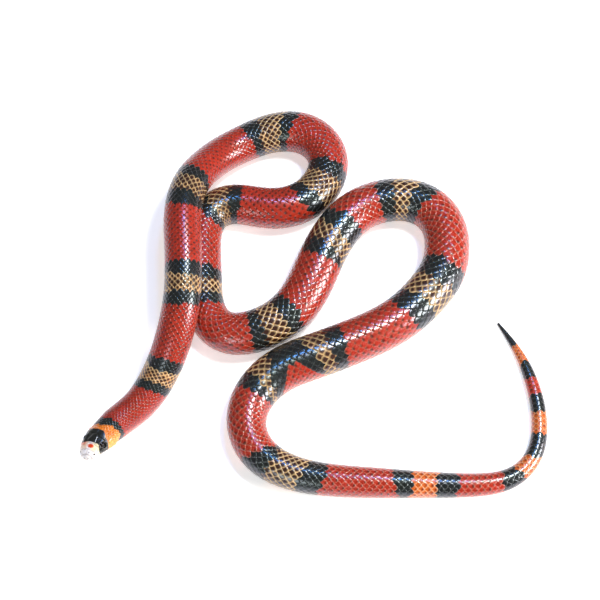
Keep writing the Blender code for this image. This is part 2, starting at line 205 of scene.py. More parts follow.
def section(angle, width, back, belly):
    """Points of sections, as distances to the left and up, at angles from the top of the back."""
    sine, cosine = np.sin(angle), np.cos(angle)
    power = 2 / BELLY_SQUARENESS
    low_side = width * np.sign(sine) * np.abs(sine) ** power
    low_rise = np.maximum(-belly, -belly * BELLY_FLAT * np.abs(cosine) ** power)
    upper = cosine >= 0
    return np.where(upper, width * sine, low_side), np.where(upper, back * cosine, low_rise)


HEAD_ROLL = 15.0
ROLL_SPAN = (12.0, 38.0)


def frames():
    """Directions back along the body, to its left and up, at each sample. The head leans over a little."""
    back = np.zeros((len(DISTANCE), 3))
    line = TRACE[:, :3]
    back[1:-1] = line[2:] - line[:-2]
    back[0], back[-1] = line[1] - line[0], line[-1] - line[-2]
    back = blur(back, 1.5)
    back /= np.linalg.norm(back, axis=1)[:, None]
    left = np.cross(back, (0, 0, 1))
    left /= np.linalg.norm(left, axis=1)[:, None]
    up = np.cross(left, back)
    roll = np.radians(HEAD_ROLL) * (1 - smooth_step(*ROLL_SPAN, DISTANCE))[:, None]
    return back, left * np.cos(roll) + up * np.sin(roll), up * np.cos(roll) - left * np.sin(roll)


AHEAD, LEFT, UP = frames()


def read_line(rows, at):
    return np.stack([np.interp(at, DISTANCE, rows[:, k]) for k in range(3)], axis=-1)


def place(at, angle, lift=0.0):
    """Points in space for distances from the snout, angles from the top of the back and lifts, in mm."""
    at, angle, lift = np.broadcast_arrays(np.asarray(at, float), angle, lift)
    beyond = np.minimum(at, 0) + np.maximum(at - LENGTH, 0)
    centre = read_line(TRACE[:, :3], at) + beyond[..., None] * read_line(AHEAD, at)
    size = sizes(at)
    side, rise = section(angle, *size)
    turn = 0.03
    ahead, behind = section(angle + turn, *size), section(angle - turn, *size)
    run = np.stack([ahead[0] - behind[0], ahead[1] - behind[1]], axis=-1)
    run /= np.maximum(np.linalg.norm(run, axis=-1, keepdims=True), 1e-9)
    side = side - lift * run[..., 1]
    rise = rise + lift * run[..., 0]
    return centre + side[..., None] * read_line(LEFT, at) + rise[..., None] * read_line(UP, at)


print("middle of the back at the thickest part:", place(500.0, 0.0).round(1))

# %% [markdown]
# ## The unwrapped pelt
# Baked colours need a flat map of the whole surface. A snake's pelt is about fourteen times longer
# than it is wide, so the map cuts it into strips and stacks them in the square, as a long ribbon would
# be folded on a table.

# %% unwrap for baked colours
STRIPS = 4
STRIP_LENGTH = (LENGTH + 2) / STRIPS
PELT_HALF = 39.0


def pelt_place(at, angle):
    """Place on the unwrapped pelt in mm, along and across its strip, with the strip's number."""
    width = sizes(at)[0]
    strip = np.clip(np.floor((at + 1) / STRIP_LENGTH), 0, STRIPS - 1)
    return at + 1 - strip * STRIP_LENGTH, angle * width, strip


def pelt_uv(along_strip, across, strip):
    u = along_strip / STRIP_LENGTH
    v = (strip + (across + PELT_HALF) / (2 * PELT_HALF)) / STRIPS
    return np.stack([u * 0.98 + 0.01, v * 0.98 + 0.01], axis=-1)


print("strips:", STRIPS, "of", round(STRIP_LENGTH), "mm by", 2 * PELT_HALF, "mm")

# %% [markdown]
# ## Markings
# A milk snake wears rings of red, black and golden cream, always with black on both sides of the cream.
# Towards the tail the cream turns orange. The rings are a list of places along the body where a new
# colour starts, each with how far it leans to one side, and a row of letters names the colours. A scale
# takes the colour of its own place, so the rings get the stepped edges of the real animal, and the same
# list paints the skin beneath. On the head the edges bend too much for that, so each of the four has a
# table from the angle round the head to its place.

# %% colours of the rings
def paint_box(**colours):
    return {name: linear(colour) for name, colour in colours.items()}


# The flank colour is a paler, pinker red: painted sheen for the flanks of the red scales.
PAINT = paint_box(red="A32711", black="151614", cream="A9652D", orange="C45A18", snout="FFF6F3",
                  peach="F7CDA8", straw="FBE9A6", suture="7D675C", mark="4A3A38", patch="EC4A10",
                  nape="E87A1E", golden="F0A548", flank="D67A66")
TIPS = paint_box(red="460D07", black="050505", cream="35190D", orange="7A260A", nape="B04A0A", snout="35190D")
# Rim colours are partly each scale's own paler edge and partly a painted glint, grey on the black scales.
RIMS_AND_GLINTS = paint_box(red="DE8C6C", black="5A605A", cream="F3D296", orange="FBC48C", nape="FBC46E", snout="F3D296")
TIP_SPOT = {"red": (0.36, 0.97, 0.26), "black": (0.0, 0.97, 0.1), "cream": (0.47, 0.62, 0.30),
            "orange": (0.34, 0.86, 0.26), "nape": (0.34, 0.88, 0.3), "snout": (0.25, 0.9, 0.2)}
RING_LETTERS = {"s": "snout", "k": "black", "n": "nape", "r": "red", "c": "cream", "o": "orange"}
RING_ORDER = "sknkr" + "kckr" * 11 + "kckckr" + "kckr" + "kokr" + "kokokr" + "kok"
RING_EDGES = [
    (0, 0), (8, 0), (16, 0), (20, 0), (24, 0),
    (50.5, 2), (55.5, 2.5), (65, 0.5), (71, 1), (100, 1), (106, 1), (115, -0.5), (122, 0),
    (155, -0.5), (162, -0.5), (172.5, -1), (179, -1), (223.5, 1), (230.5, -0.5), (244.5, -3.5), (251, -3),
    (285.5, -2), (293.5, 0), (307, 1.5), (315, 3), (347, -1), (353.5, -2.5), (365, -2), (372, -3.5),
    (403, 0.5), (408.5, -2.5), (417.5, -1), (423.5, -4), (456, -1), (463, -0.5), (474, 0.5), (482.5, -1.5),
    (514, -1), (521, -4), (532.5, -2.5), (543, 2), (566, -0.5), (574.5, -0.5), (585, -1.5), (594.5, -1.5),
    (635.5, -1.5), (647, 0.5), (661, 1), (672.5, 1.5),
    (709.5, -1), (717.5, 1), (727.5, 4.5), (752, -7), (759.5, -2.5), (766.5, 0),
    (800.5, -4), (808.5, -0.5), (825, -2.5), (836, -1), (873, 1), (881.5, 0), (895, -0.5), (905.5, 0),
    (930, -1), (939.5, 1.5), (950.5, 2), (965, 0), (977, 0), (986.5, 1), (997, 0), (1005.5, 0), (1017, 0.5),
]
RING_STARTS, RING_LEANS = np.array(RING_EDGES, float).T
RING_NAMES = [RING_LETTERS[letter] for letter in RING_ORDER]
KINDS = ["snout", "black", "cream", "orange", "red", "nape"]
CAP_FRONT = [(-180, 9.5), (-145, 8.5), (-120, 6), (-90, 6.2), (-71, 7), (-38, 7.1), (-12, 7.9), (20, 8.3),
             (32, 8.5), (44, 8), (60, 6.6), (77, 5.3), (107, 5), (120, 5.4), (145, 8.5), (180, 9.5)]
CAP_REAR = [(-180, 9.4), (-145, 8.4), (-120, 10.5), (-90, 12.2), (-65, 13.7), (-36, 14.3), (-16, 15.2),
            (0, 16.1), (16, 16.3), (25, 15.7), (40, 14.3), (63, 13.5), (87, 12.2), (120, 11.4), (145, 8.4),
            (180, 9.4)]
NAPE_REAR = [(-180, 16), (-90, 16), (-67, 16.6), (-47, 17.2), (-25, 17.9), (-6, 19.1), (7, 20), (17, 20.8),
             (40, 21.7), (58, 22.7), (70, 22.6), (84, 21.9), (110, 20.5), (180, 18)]
COLLAR_REAR = [(-180, 18), (-90, 19.5), (-60, 20.4), (-33, 22.3), (-12, 23.4), (12, 24.4), (34, 25.0),
               (70, 25.2), (110, 24), (180, 21)]
HEAD_EDGES = [CAP_FRONT, CAP_REAR, NAPE_REAR, COLLAR_REAR]
SADDLE, SADDLE_END = 1.3, 1.3
GOLDEN_SPAN = (45, 85)
RED_WEDGE = [(12, 738, 739), (30, 734, 745), (50, 730, 749.5), (76, 726.5, 751.5), (98, 724, 752),
             (150, 724, 752)]
print("rings:", len(RING_NAMES))


def table_at(table, at):
    places = np.array(table, float)
    return np.interp(at, places[:, 0], places[:, 1])


def ring_kind(at, angle):
    """Number of the colour kind at places on the body. Black rings are broadest on the back, a ring that
    leans starts farther back on one side, and a red wedge parts one black ring on the right flank."""
    angle = np.broadcast_to(angle, at.shape)
    side = np.minimum(np.abs(angle) / (math.pi / 2), SADDLE_END)
    reach = SADDLE * (0.5 - side)
    kinds = np.array([KINDS.index(name) for name in RING_NAMES])
    black = kinds == KINDS.index("black")
    starts = RING_STARTS[None, :] - np.where(black, 1.0, -1.0)[None, :] * reach.reshape(-1, 1)
    starts = starts + RING_LEANS[None, :] * np.sin(angle).reshape(-1, 1)
    for edge, table in enumerate(HEAD_EDGES, 1):
        starts[:, edge] = table_at(table, np.degrees(angle).ravel())
    order = (at.reshape(-1, 1) >= starts).sum(axis=1) - 1
    found = kinds[np.clip(order, 0, len(kinds) - 1)].reshape(at.shape)
    edges = np.array(RED_WEDGE, float)
    flank = np.degrees(-angle)
    front, rear = np.interp(flank, edges[:, 0], edges[:, 1]), np.interp(flank, edges[:, 0], edges[:, 2])
    wedge = (at > front) & (at < rear) & (flank > edges[0, 0]) & (flank < edges[-1, 0])
    return np.where(wedge, KINDS.index("red"), found)

# %% [markdown]
# ## Materials
# Snake scales are keratin: clear, hard and smooth, over skin that holds the colour. So the shader is a
# plain dielectric with a clear coat, never a metal. Fine ridges on the real scale split the light, and
# milk snakes shine blue and violet where the sun catches them. A thin film on the shader does the same.
# The colour comes from attributes on the mesh: the ground colour, the dark spot and the pale rim, which is
# partly each scale's own paler edge and partly a painted glint. A small map that every scale carries says
# where on the scale a point lies, for the spot's shape.

# %% helper for nodes
def add(tree, kind, links=None, **settings):
    """Adds a node. Settings are its properties, links is a table of input to value or socket."""
    node = tree.nodes.new(kind)
    for key, value in settings.items():
        setattr(node, key, value)
    for key, value in (links or {}).items():
        if isinstance(value, bpy.types.NodeSocket):
            tree.links.new(value, node.inputs[key])
        else:
            node.inputs[key].default_value = value
    return node


def new_material(name, values):
    """Material with values on its shader's own sockets, its tree and the shader."""
    made = bpy.data.materials.new(name)
    made.use_nodes = True
    tree = made.node_tree
    shader = tree.nodes["Principled BSDF"]
    for key, value in values.items():
        shader.inputs[key].default_value = value
    return made, tree, shader


print("materials are built with one node helper")

# %% keratin of the scales
FILM_NM, FILM_IOR, FILM_PATCH_MM = (300, 350), 1.50, 9.0
KERATIN_IOR = 1.54
# A second, softer gloss lies over the keratin, as skin oils do, and widens the glints.
WAX_WEIGHT, WAX_ROUGHNESS = 0.45, 0.16
MOTTLE_MM, MOTTLE_SHADES = 1.4, (0.82, 1.14)
# The ridges of real keratin are finer than a hair, so they are drawn coarse enough to show.
PORE_MM, PORE_DEPTH_MM = 0.25, 0.05
CLOUD_SPAN = {"From Min": 0.3, "From Max": 0.7}


def keratin(name, roughness, spotted):
    """Keratin over coloured skin: glossy and mottled. Scales also get a dark spot, a rim and the film."""
    made, tree, shader = new_material(name, {"IOR": KERATIN_IOR, "Coat Weight": WAX_WEIGHT,
                                             "Coat Roughness": WAX_ROUGHNESS})
    place_node = add(tree, "ShaderNodeTexCoord")
    ground = add(tree, "ShaderNodeAttribute", attribute_name="ground")
    mottle = add(tree, "ShaderNodeTexNoise", {"Vector": place_node.outputs["Object"], "Detail": 3.0,
                                              "Scale": 1 / (MOTTLE_MM * MM)}).outputs["Fac"]
    shade = add(tree, "ShaderNodeMapRange", {"Value": mottle, "To Min": MOTTLE_SHADES[0],
                                             "To Max": MOTTLE_SHADES[1], **CLOUD_SPAN})
    colour = add(tree, "ShaderNodeVectorMath", {0: ground.outputs["Color"]}, operation="SCALE")
    tree.links.new(shade.outputs["Result"], colour.inputs["Scale"])
    base = colour.outputs["Vector"]
    if spotted:
        tip = add(tree, "ShaderNodeAttribute", attribute_name="tip")
        local = add(tree, "ShaderNodeUVMap", uv_map="ScalePlace")
        spot = add(tree, "ShaderNodeAttribute", attribute_name="spot")
        said = add(tree, "ShaderNodeSeparateXYZ", {0: spot.outputs["Vector"]})
        seat = add(tree, "ShaderNodeCombineXYZ", {"X": 0.5, "Y": said.outputs["Y"]})
        away = add(tree, "ShaderNodeVectorMath", {0: local.outputs["UV"], 1: seat.outputs[0]},
                   operation="DISTANCE")
        uneven = add(tree, "ShaderNodeMath", {0: mottle, 1: 0.3, 2: -0.15},
                     operation="MULTIPLY_ADD")
        rough_away = add(tree, "ShaderNodeMath", {0: away.outputs["Value"], 1: uneven.outputs[0]},
                         operation="ADD")
        inner = add(tree, "ShaderNodeMath", {0: said.outputs["X"], 1: said.outputs["Z"]},
                    operation="SUBTRACT")
        mask = add(tree, "ShaderNodeMapRange", {"Value": rough_away.outputs[0], "To Min": 1.0, "To Max": 0.0,
                                                "From Min": inner.outputs[0], "From Max": said.outputs["X"]},
                   interpolation_type="SMOOTHSTEP")
        spotty = add(tree, "ShaderNodeMix", {0: mask.outputs["Result"], 6: base, 7: tip.outputs["Color"]},
                     data_type="RGBA")
        # The pale rim is partly the scale's own paler edge and partly a painted glint along it.
        rim = add(tree, "ShaderNodeAttribute", attribute_name="rim")
        edge = add(tree, "ShaderNodeAttribute", attribute_name="edge")
        pale = add(tree, "ShaderNodeMath", {0: edge.outputs["Fac"], 1: rim.outputs["Alpha"]},
                   operation="MULTIPLY")
        blend = add(tree, "ShaderNodeMix", {0: pale.outputs[0], 6: spotty.outputs[2],
                                            7: rim.outputs["Color"]}, data_type="RGBA")
        base = blend.outputs[2]
    pores = add(tree, "ShaderNodeTexNoise", {"Vector": place_node.outputs["Object"], "Detail": 2.0,
                                             "Scale": 1 / (PORE_MM * MM)})
    bump = add(tree, "ShaderNodeBump", {"Height": pores.outputs["Fac"], "Strength": 0.12,
                                        "Distance": PORE_DEPTH_MM * MM})
    rough = add(tree, "ShaderNodeMapRange", {"Value": mottle, "To Min": roughness - 0.05,
                                             "To Max": roughness + 0.07, **CLOUD_SPAN})
    tree.links.new(base, shader.inputs["Base Color"])
    tree.links.new(rough.outputs["Result"], shader.inputs["Roughness"])
    tree.links.new(bump.outputs["Normal"], shader.inputs["Normal"])
    if not spotted:
        return made
    patches = add(tree, "ShaderNodeTexNoise", {"Vector": place_node.outputs["Object"], "Detail": 1.0,
                                               "Scale": 1 / (FILM_PATCH_MM * MM)})
    film = add(tree, "ShaderNodeMapRange", {"Value": patches.outputs["Fac"], "To Min": FILM_NM[0],
                                            "To Max": FILM_NM[1], **CLOUD_SPAN})
    tree.links.new(film.outputs["Result"], shader.inputs["Thin Film Thickness"])
    shader.inputs["Thin Film IOR"].default_value = FILM_IOR
    return made


SCALE_KERATIN = keratin("scale_keratin", 0.24, True)
PLATE_KERATIN = keratin("plate_keratin", 0.30, False)
print("keratin with a film of", FILM_NM, "nm")

# %% [markdown]
# ## One mesh from arrays
# Thousands of small pieces are quickest to make as arrays of points and faces, joined in one mesh. The
# helpers below join rings with faces, fill a mesh's layers and turn such arrays into an object, with its
# colours as attributes and its maps as UVs.

# %% mesh helpers
def band(first, second, count):
    """Faces between two closed rings of points, given the number of each ring's first point."""
    return [(first + k, first + (k + 1) % count, second + (k + 1) % count, second + k) for k in range(count)]


def corner_numbers(data):
    """Number of the point at each corner of the faces."""
    numbers = np.zeros(len(data.loops), np.int32)
    data.loops.foreach_get("vertex_index", numbers)
    return numbers


def fill(layer, field, values):
    layer.data.foreach_set(field, np.asarray(values, np.float32).ravel())


def show(made):
    bpy.context.scene.collection.objects.link(made)
    return made


def mesh_piece(name, points, faces, material, colours=None, maps=None):
    """Object at the origin from points in mm, faces as lists of corner numbers, colours and maps."""
    data = bpy.data.meshes.new(name)
    data.from_pydata((np.asarray(points) * MM).tolist(), [], faces)
    for key, values in (colours or {}).items():
        fill(data.attributes.new(key, "FLOAT_COLOR", "POINT"), "color", values)
    for key, values in (maps or {}).items():
        fill(data.uv_layers.new(name=key), "uv", values)
    data.materials.append(material)
    data.shade_smooth()
    data.validate()
    made = show(bpy.data.objects.new(name, data))
    print(f"{name}: {len(data.vertices)} points, {sum(len(f) - 2 for f in faces)} triangles")
    return made


# %% [markdown]
# ## The head
# A milk snake's head is small and hardly wider than its neck. Broad plates cover it in a fixed order
# that every colubrid snake shares: one rostral at the tip, pairs of internasals and prefrontals, a
# frontal between two supraoculars, and two big parietals. Smaller ones line the lips. Each plate is a
# polygon on the map of the surface. A point's distance inside its plate's edge gives its height, so a
# plate rises at its rim and the seams stay low. This needs no cutting, and no seam can open.

# %% plates of the head
PLATE_HEIGHT = 0.16
PLATE_RIM = 0.38
PLATE_DOME = 0.03
SEAM_HALF = 0.07
MOUTH_CORNER = 17.4
MOUTH_LEVEL = [(-0.5, -0.1), (0, -0.5), (3.4, -0.7), (9, -1.2), (13.6, -2.0), (MOUTH_CORNER, -2.6),
               (22, -3.2)]
MIDDLE_PLATES = {
    "rostral": [(-2, -100), (0.65, -92), (1.0, -45), (1.7, 0), (1.0, 45), (0.65, 92), (-2, 100)],
    "frontal": [(7.4, -18), (7.75, 0), (7.4, 18), (8.6, 22), (12.0, 14), (13.6, 0), (12.0, -14), (8.6, -22)],
}
SIDE_PLATES = {
    "internasal": [(1.8, 0.6), (1.15, 45), (3.25, 51), (3.8, 20), (3.95, 0.6)],
    "prefrontal": [(4.05, 0.6), (3.95, 20), (3.5, 50), (4.3, 58), (7.3, 50), (7.25, 20), (7.65, 0.6)],
    "supraocular": [(7.45, 21), (7.5, 44), (9.6, 47), (12.0, 45), (12.1, 16.5), (8.6, 24.5)],
    "parietal": [(13.7, 0.7), (12.3, 17), (12.3, 51), (13.7, 51), (15.6, 33), (16.5, 14), (16.0, 0.7)],
    "front_nasal": [(1.1, 48), (0.8, 86), (2.45, 86), (2.45, 53)],
    "rear_nasal": [(2.6, 53), (2.6, 86), (4.1, 86), (4.1, 60), (3.4, 53)],
    "loreal": [(4.3, 61), (4.3, 86), (6.2, 84), (6.3, 57)],
    "preocular": [(6.5, 56), (6.4, 83), (8.2, 82), (8.4, 64), (7.4, 52)],
    "upper_postocular": [(12.4, 53), (11.7, 69), (13.3, 71), (13.9, 54)],
    "lower_postocular": [(11.6, 71), (11.7, 83), (13.5, 86), (13.3, 73)],
    "front_temporal": [(14.1, 56), (13.5, 72), (13.7, 87), (15.9, 88), (16.2, 72), (15.3, 57)],
    "front_chin": [(3.6, 146), (4.0, 178.5), (8.2, 178.5), (8.4, 148)],
    "rear_chin": [(8.8, 148), (8.6, 178.5), (13.0, 177), (13.6, 156)],
}
LIP_EDGES = [0.85, 2.6, 4.5, 6.7, 9.1, 11.8, 14.7, 17.9]
JAW_EDGES = [0.9, 2.1, 3.7, 5.6, 7.9, 10.5, 13.2, 16.0, 18.4]
LIP_TOP = [(0, 88), (6.0, 88), (8.0, 85), (12.0, 85), (14.5, 90), (18, 92.5)]
JAW_DROP = [(0, 44), (4, 42), (9, 38), (14, 26), (18, 17)]


def mouth_angle(at):
    """Angle from the top of the head, in degrees, of the line of the mouth."""
    belly = sizes(np.asarray(at, float))[2]
    share = np.clip(-table_at(MOUTH_LEVEL, at) / (belly * BELLY_FLAT), 0, 1)
    return 180 - np.degrees(np.arccos(share ** (BELLY_SQUARENESS / 2)))


def lip_plates():
    """Plates along the upper and lower lips, as polygons on the map."""
    made = []
    for front, rear in zip(LIP_EDGES, LIP_EDGES[1:]):
        a, b = mouth_angle(front), mouth_angle(rear)
        tops = table_at(LIP_TOP, np.array([front, rear]))
        made.append([(front + 0.1, tops[0]), (front - 0.1, a - 1), (rear - 0.3, b - 1),
                     (rear - 0.1, tops[1])])
    for front, rear in zip(JAW_EDGES, JAW_EDGES[1:]):
        a, b = mouth_angle(front), mouth_angle(rear)
        drops = table_at(JAW_DROP, np.array([front, rear]))
        made.append([(front - 0.1, a + 1.5), (front + 0.2, a + drops[0]), (rear, b + drops[1]),
                     (rear - 0.3, b + 1.5)])
    return made


HEAD_PLATES = list(MIDDLE_PLATES.values()) + list(SIDE_PLATES.values()) + lip_plates()
print("plates on one side and the middle of the head:", len(HEAD_PLATES))


def degree_width(at):
    """Millimetres for one degree round the head."""
    return np.maximum(sizes(at)[0], 1.5) * math.pi / 180


def depth_in_plates(at, degrees):
    """Distance inside the nearest plate's edge, in mm, at places on the head."""
    width = degree_width(at)
    best = np.full(at.shape, -1.0)
    for k, polygon in enumerate(HEAD_PLATES):
        around = degrees if k < len(MIDDLE_PLATES) else np.abs(degrees)
        corners = np.array(polygon, float)
        following = np.roll(corners, -1, axis=0)
        if np.sum((following[:, 0] - corners[:, 0]) * (following[:, 1] + corners[:, 1])) > 0:
            corners = corners[::-1]
        inside = np.full(at.shape, 99.0)
        for (x0, y0), (x1, y1) in zip(corners, np.roll(corners, -1, axis=0)):
            run_x, run_y = x1 - x0, (y1 - y0) * width
            length = np.sqrt(run_x ** 2 + run_y ** 2)
            inside = np.minimum(inside, (run_x * (around - y0) * width - run_y * (at - x0)) / length)
        best = np.maximum(best, inside)
    return best


# %% [markdown]
# Between the plates the head has softer forms: a groove where the lips meet, full lips over it, a
# shallow dent in front of each eye, a brow above it, cheeks where the jaw muscles lie, and a nostril
# that is a round pit in the nasal plates. Each one is added to the lift as a smooth bump or pit.

# %% soft forms of the head
EYE_AT = 10.0
EYE_RADIUS = 1.6
EYE_UP = 2.1
EYE_SUNK = 2.15
NOSTRIL = (2.6, 61.0)
NOSTRIL_RADIUS, NOSTRIL_RIM, NOSTRIL_DEPTH = 0.48, 0.10, 0.7
COAT_SHARE = 0.036
COAT_START = [(0, 16.5), (16, 16.9), (34, 16), (50, 14.7), (60, 15.5), (86, 15.9), (93, 18.4),
              (110, 18.4), (124, 14.4), (180, 14.4)]
COAT_EASE = 1.1
LIP_GROOVE_DEPTH, LIP_GROOVE_HALF = 0.42, 0.17
UPPER_LIP, LOWER_LIP, LIP_SPREAD = 0.20, 0.05, 6
SOFT_FORMS = {"brow": (0.22, (10, 42), (2.9, 8)), "dent before the eye": (-0.35, (5.6, 70), (1.5, 11)),
              "cheek": (0.45, (18.5, 100), (3.8, 22)), "crown": (0.12, (16.4, 30), (3.9, 20))}
SOCKET_INNER, SOCKET_OUTER, SOCKET_DEPTH = 1.18, 1.5, 0.9
LID_RING, LID_RING_HALF, LID_RING_HEIGHT = 1.66, 0.2, 0.12


def eye_centre(side):
    """Centre of the left eye for side 1, of the right eye for side -1, in mm."""
    at = np.array([EYE_AT])
    across = side * (sizes(at)[0] - EYE_SUNK)[:, None]
    return (read_line(TRACE[:, :3], at) + across * read_line(LEFT, at) + EYE_UP * read_line(UP, at))[0]


def coat_cover(at, degrees, lead=0.0):
    """How far the coat has begun: 0 on the plates of the head, 1 behind them."""
    start = table_at(COAT_START, np.abs(degrees)) + lead
    return smooth_step(start - COAT_EASE, start + COAT_EASE, at)


def coat_depth(at, degrees):
    """Room for the coat of scales above the skin, in mm."""
    return COAT_SHARE * sizes(at)[0] * coat_cover(at, degrees)


def hill(at, degrees, centre, spread):
    """Smooth bump, 1 at its centre on each side of the head. Spreads are in mm and degrees."""
    along = (at - centre[0]) / spread[0]
    around = (np.abs(degrees) - centre[1]) / spread[1]
    return np.exp(-along ** 2 - around ** 2)


def head_lift(at, degrees):
    """Height of the head's relief over the plain tube, in mm."""
    width, depth = degree_width(at), depth_in_plates(at, degrees)
    plate = PLATE_HEIGHT * smooth_step(SEAM_HALF, SEAM_HALF + PLATE_RIM, depth)
    plate += PLATE_DOME * np.clip(depth, 0, 2)
    below_mouth = np.abs(degrees) - mouth_angle(at)
    mouth = 1 - smooth_step(MOUTH_CORNER - 0.8, MOUTH_CORNER + 0.6, at)
    groove = np.exp(-(below_mouth * width / LIP_GROOVE_HALF) ** 2) * mouth * smooth_step(-0.3, 0.4, at)
    lift = smooth_step(0.2, 0.9, at) * plate - LIP_GROOVE_DEPTH * groove
    lift += UPPER_LIP * np.exp(-((below_mouth + 8) / LIP_SPREAD) ** 2) * mouth
    lift += LOWER_LIP * np.exp(-((below_mouth - 7) / LIP_SPREAD) ** 2) * mouth
    for height, centre, reach in SOFT_FORMS.values():
        lift += height * hill(at, degrees, centre, reach)
    hole = np.sqrt((at - NOSTRIL[0]) ** 2 + ((np.abs(degrees) - NOSTRIL[1]) * width) ** 2)
    lift += NOSTRIL_RIM * np.exp(-((hole - 0.62) / 0.16) ** 2)
    return lift - NOSTRIL_DEPTH * (1 - smooth_step(0.6, 1.1, hole / NOSTRIL_RADIUS))


def eye_lift(points, lift):
    """Lift near the eyes: a socket that the eye sits in, with a low rim of small scales around it."""
    for side in (1, -1):
        to_eye = points - eye_centre(side)
        axis = side * read_line(LEFT, np.array([EYE_AT]))[0]
        outwards = to_eye @ axis
        away = np.linalg.norm(to_eye - outwards[..., None] * axis, axis=-1)
        socket = 1 - smooth_step(SOCKET_INNER, SOCKET_OUTER, away)
        rim = LID_RING_HEIGHT * np.exp(-((away - LID_RING) / LID_RING_HALF) ** 2)
        lift = np.where(outwards > 0, lift * (1 - socket) - SOCKET_DEPTH * socket + rim, lift)
    return lift


print("eyes at:", eye_centre(1).round(1), eye_centre(-1).round(1))

# %% [markdown]
# ## The skin
# One skin runs from the snout to the tip of the tail. It is a grid of rings and columns on the map, very
# fine on the head, where it carries the plates, and coarser on the body, where the coat of scales lies
# over it. The columns crowd together at the line of the mouth, so that the groove stays crisp. Each of
# the two ends closes in one point.

# %% grid of the skin
UPPER_COLUMNS, MOUTH_COLUMNS, LOWER_COLUMNS = 78, 28, 38
MOUTH_REACH = 7.0
HEAD_STEP = 0.13
BODY_STEP = 2.4
FINE_END = 20.5
SNOUT_END = -0.5


def head_columns(at):
    """Angles in degrees of the fine columns at one distance, left side first, all the way round."""
    mouth = float(mouth_angle(at))
    left = np.concatenate([
        np.linspace(0, mouth - MOUTH_REACH, UPPER_COLUMNS, endpoint=False),
        np.linspace(mouth - MOUTH_REACH, mouth + MOUTH_REACH, MOUTH_COLUMNS, endpoint=False),
        np.linspace(mouth + MOUTH_REACH, 180, LOWER_COLUMNS + 1)])
    return np.concatenate([left, -left[-2:0:-1]])


HEAD_RINGS = np.arange(SNOUT_END, FINE_END, HEAD_STEP)
TAIL_RINGS = LENGTH + TAIL_CAP * np.array([0.4, 0.8, 0.99])
BODY_RINGS = np.concatenate([np.arange(FINE_END + 0.3, LENGTH, BODY_STEP), TAIL_RINGS])
FINE = len(head_columns(0.0))
COARSE = FINE // 3
EVEN = np.linspace(0, 360, COARSE, endpoint=False)
EVEN = np.where(EVEN > 180, EVEN - 360, EVEN)


def skin_grid():
    """Distances and angles of every point of the skin, and how many points each ring has."""
    rings = [(at, head_columns(at)) for at in HEAD_RINGS]
    for at in BODY_RINGS:
        share = float(smooth_step(FINE_END, 34, at))
        rings.append((at, (1 - share) * head_columns(min(at, 22.0))[::3] + share * EVEN))
    at = np.concatenate([np.full(len(a), s) for s, a in rings])
    return at, np.concatenate([a for _, a in rings]), [len(a) for _, a in rings]


SKIN_AT, SKIN_DEGREES, RING_COUNTS = skin_grid()
print("rings:", len(RING_COUNTS), "columns on the head:", FINE, "on the body:", COARSE)


def skin_points():
    """Points of the skin in mm, with the head's relief and room for the coat."""
    angle = np.radians(SKIN_DEGREES)
    lift = -coat_depth(SKIN_AT, SKIN_DEGREES)
    on_head = SKIN_AT < HEAD_END
    relief = head_lift(SKIN_AT[on_head], SKIN_DEGREES[on_head])
    relief *= 1 - coat_cover(SKIN_AT[on_head], SKIN_DEGREES[on_head], 0.6)
    plain = place(SKIN_AT[on_head], angle[on_head])
    lift[on_head] += eye_lift(plain, relief)
    return place(SKIN_AT, angle, lift)


def skin_faces():
    """Faces between rings, with a step from fine to coarse ones and the fans that close the ends."""
    starts = np.concatenate([[0], np.cumsum(RING_COUNTS)])
    faces = []
    for row, (a, b) in enumerate(zip(RING_COUNTS, RING_COUNTS[1:])):
        front, rear = starts[row], starts[row + 1]
        if a == b:
            faces += band(front, rear, b)
            continue
        for k in range(b):
            n = (k + 1) % b
            f = [front + (3 * k + j) % a for j in range(4)]
            faces += [(rear + k, f[0], f[1]), (rear + k, f[1], f[2], rear + n), (rear + n, f[2], f[3])]
    snout, tail = starts[-1], starts[-1] + 1
    last = starts[-2]
    faces += [(snout, (k + 1) % RING_COUNTS[0], k) for k in range(RING_COUNTS[0])]
    faces += [(tail, last + k, last + (k + 1) % RING_COUNTS[-1]) for k in range(RING_COUNTS[-1])]
    return faces


def colour_table(table):
    """Rows of a table of colours or values, in the order of the kinds."""
    return np.array([table[name] for name in KINDS])


GROUND = colour_table(PAINT)


def mixed(first, second, share):
    share = np.asarray(share)[..., None]
    return first * (1 - share) + second * share


# %% colours of the head
PATCH, PATCH_SIZE = (6.0, 11.0), (1.15, 1.75)
# Small dark marks on the snout, by distance, angle and size. The one at 50 degrees on the rostral is painted
# shade at the mouth line.
MARKS = [(2.5, 18, 0.38), (1.3, 76, 0.36), (2.8, 93, 0.45), (-0.1, 50, 0.35), (0.1, -35, 0.3),
         (3.6, -14, 0.3)]
TINTS = [("straw", 0.75, (3.0, 5.0), (8, 28), 1), ("peach", 0.85, (3.0, 5.0), (0, 16), -1),
         ("patch", 0.7, (5.0, 6.6), (12, 30), -1)]
SEAM_SHADE, SNOUT_SEAMS, NAPE_SEAMS = 0.07, 0.45, 0.4
NOSTRIL_SHADE = 0.72
CHIN_FROM = 150
CAP_FRONT_BLUR, CAP_REAR_BLUR, NAPE_BLUR = 0.12, 0.1, 0.2


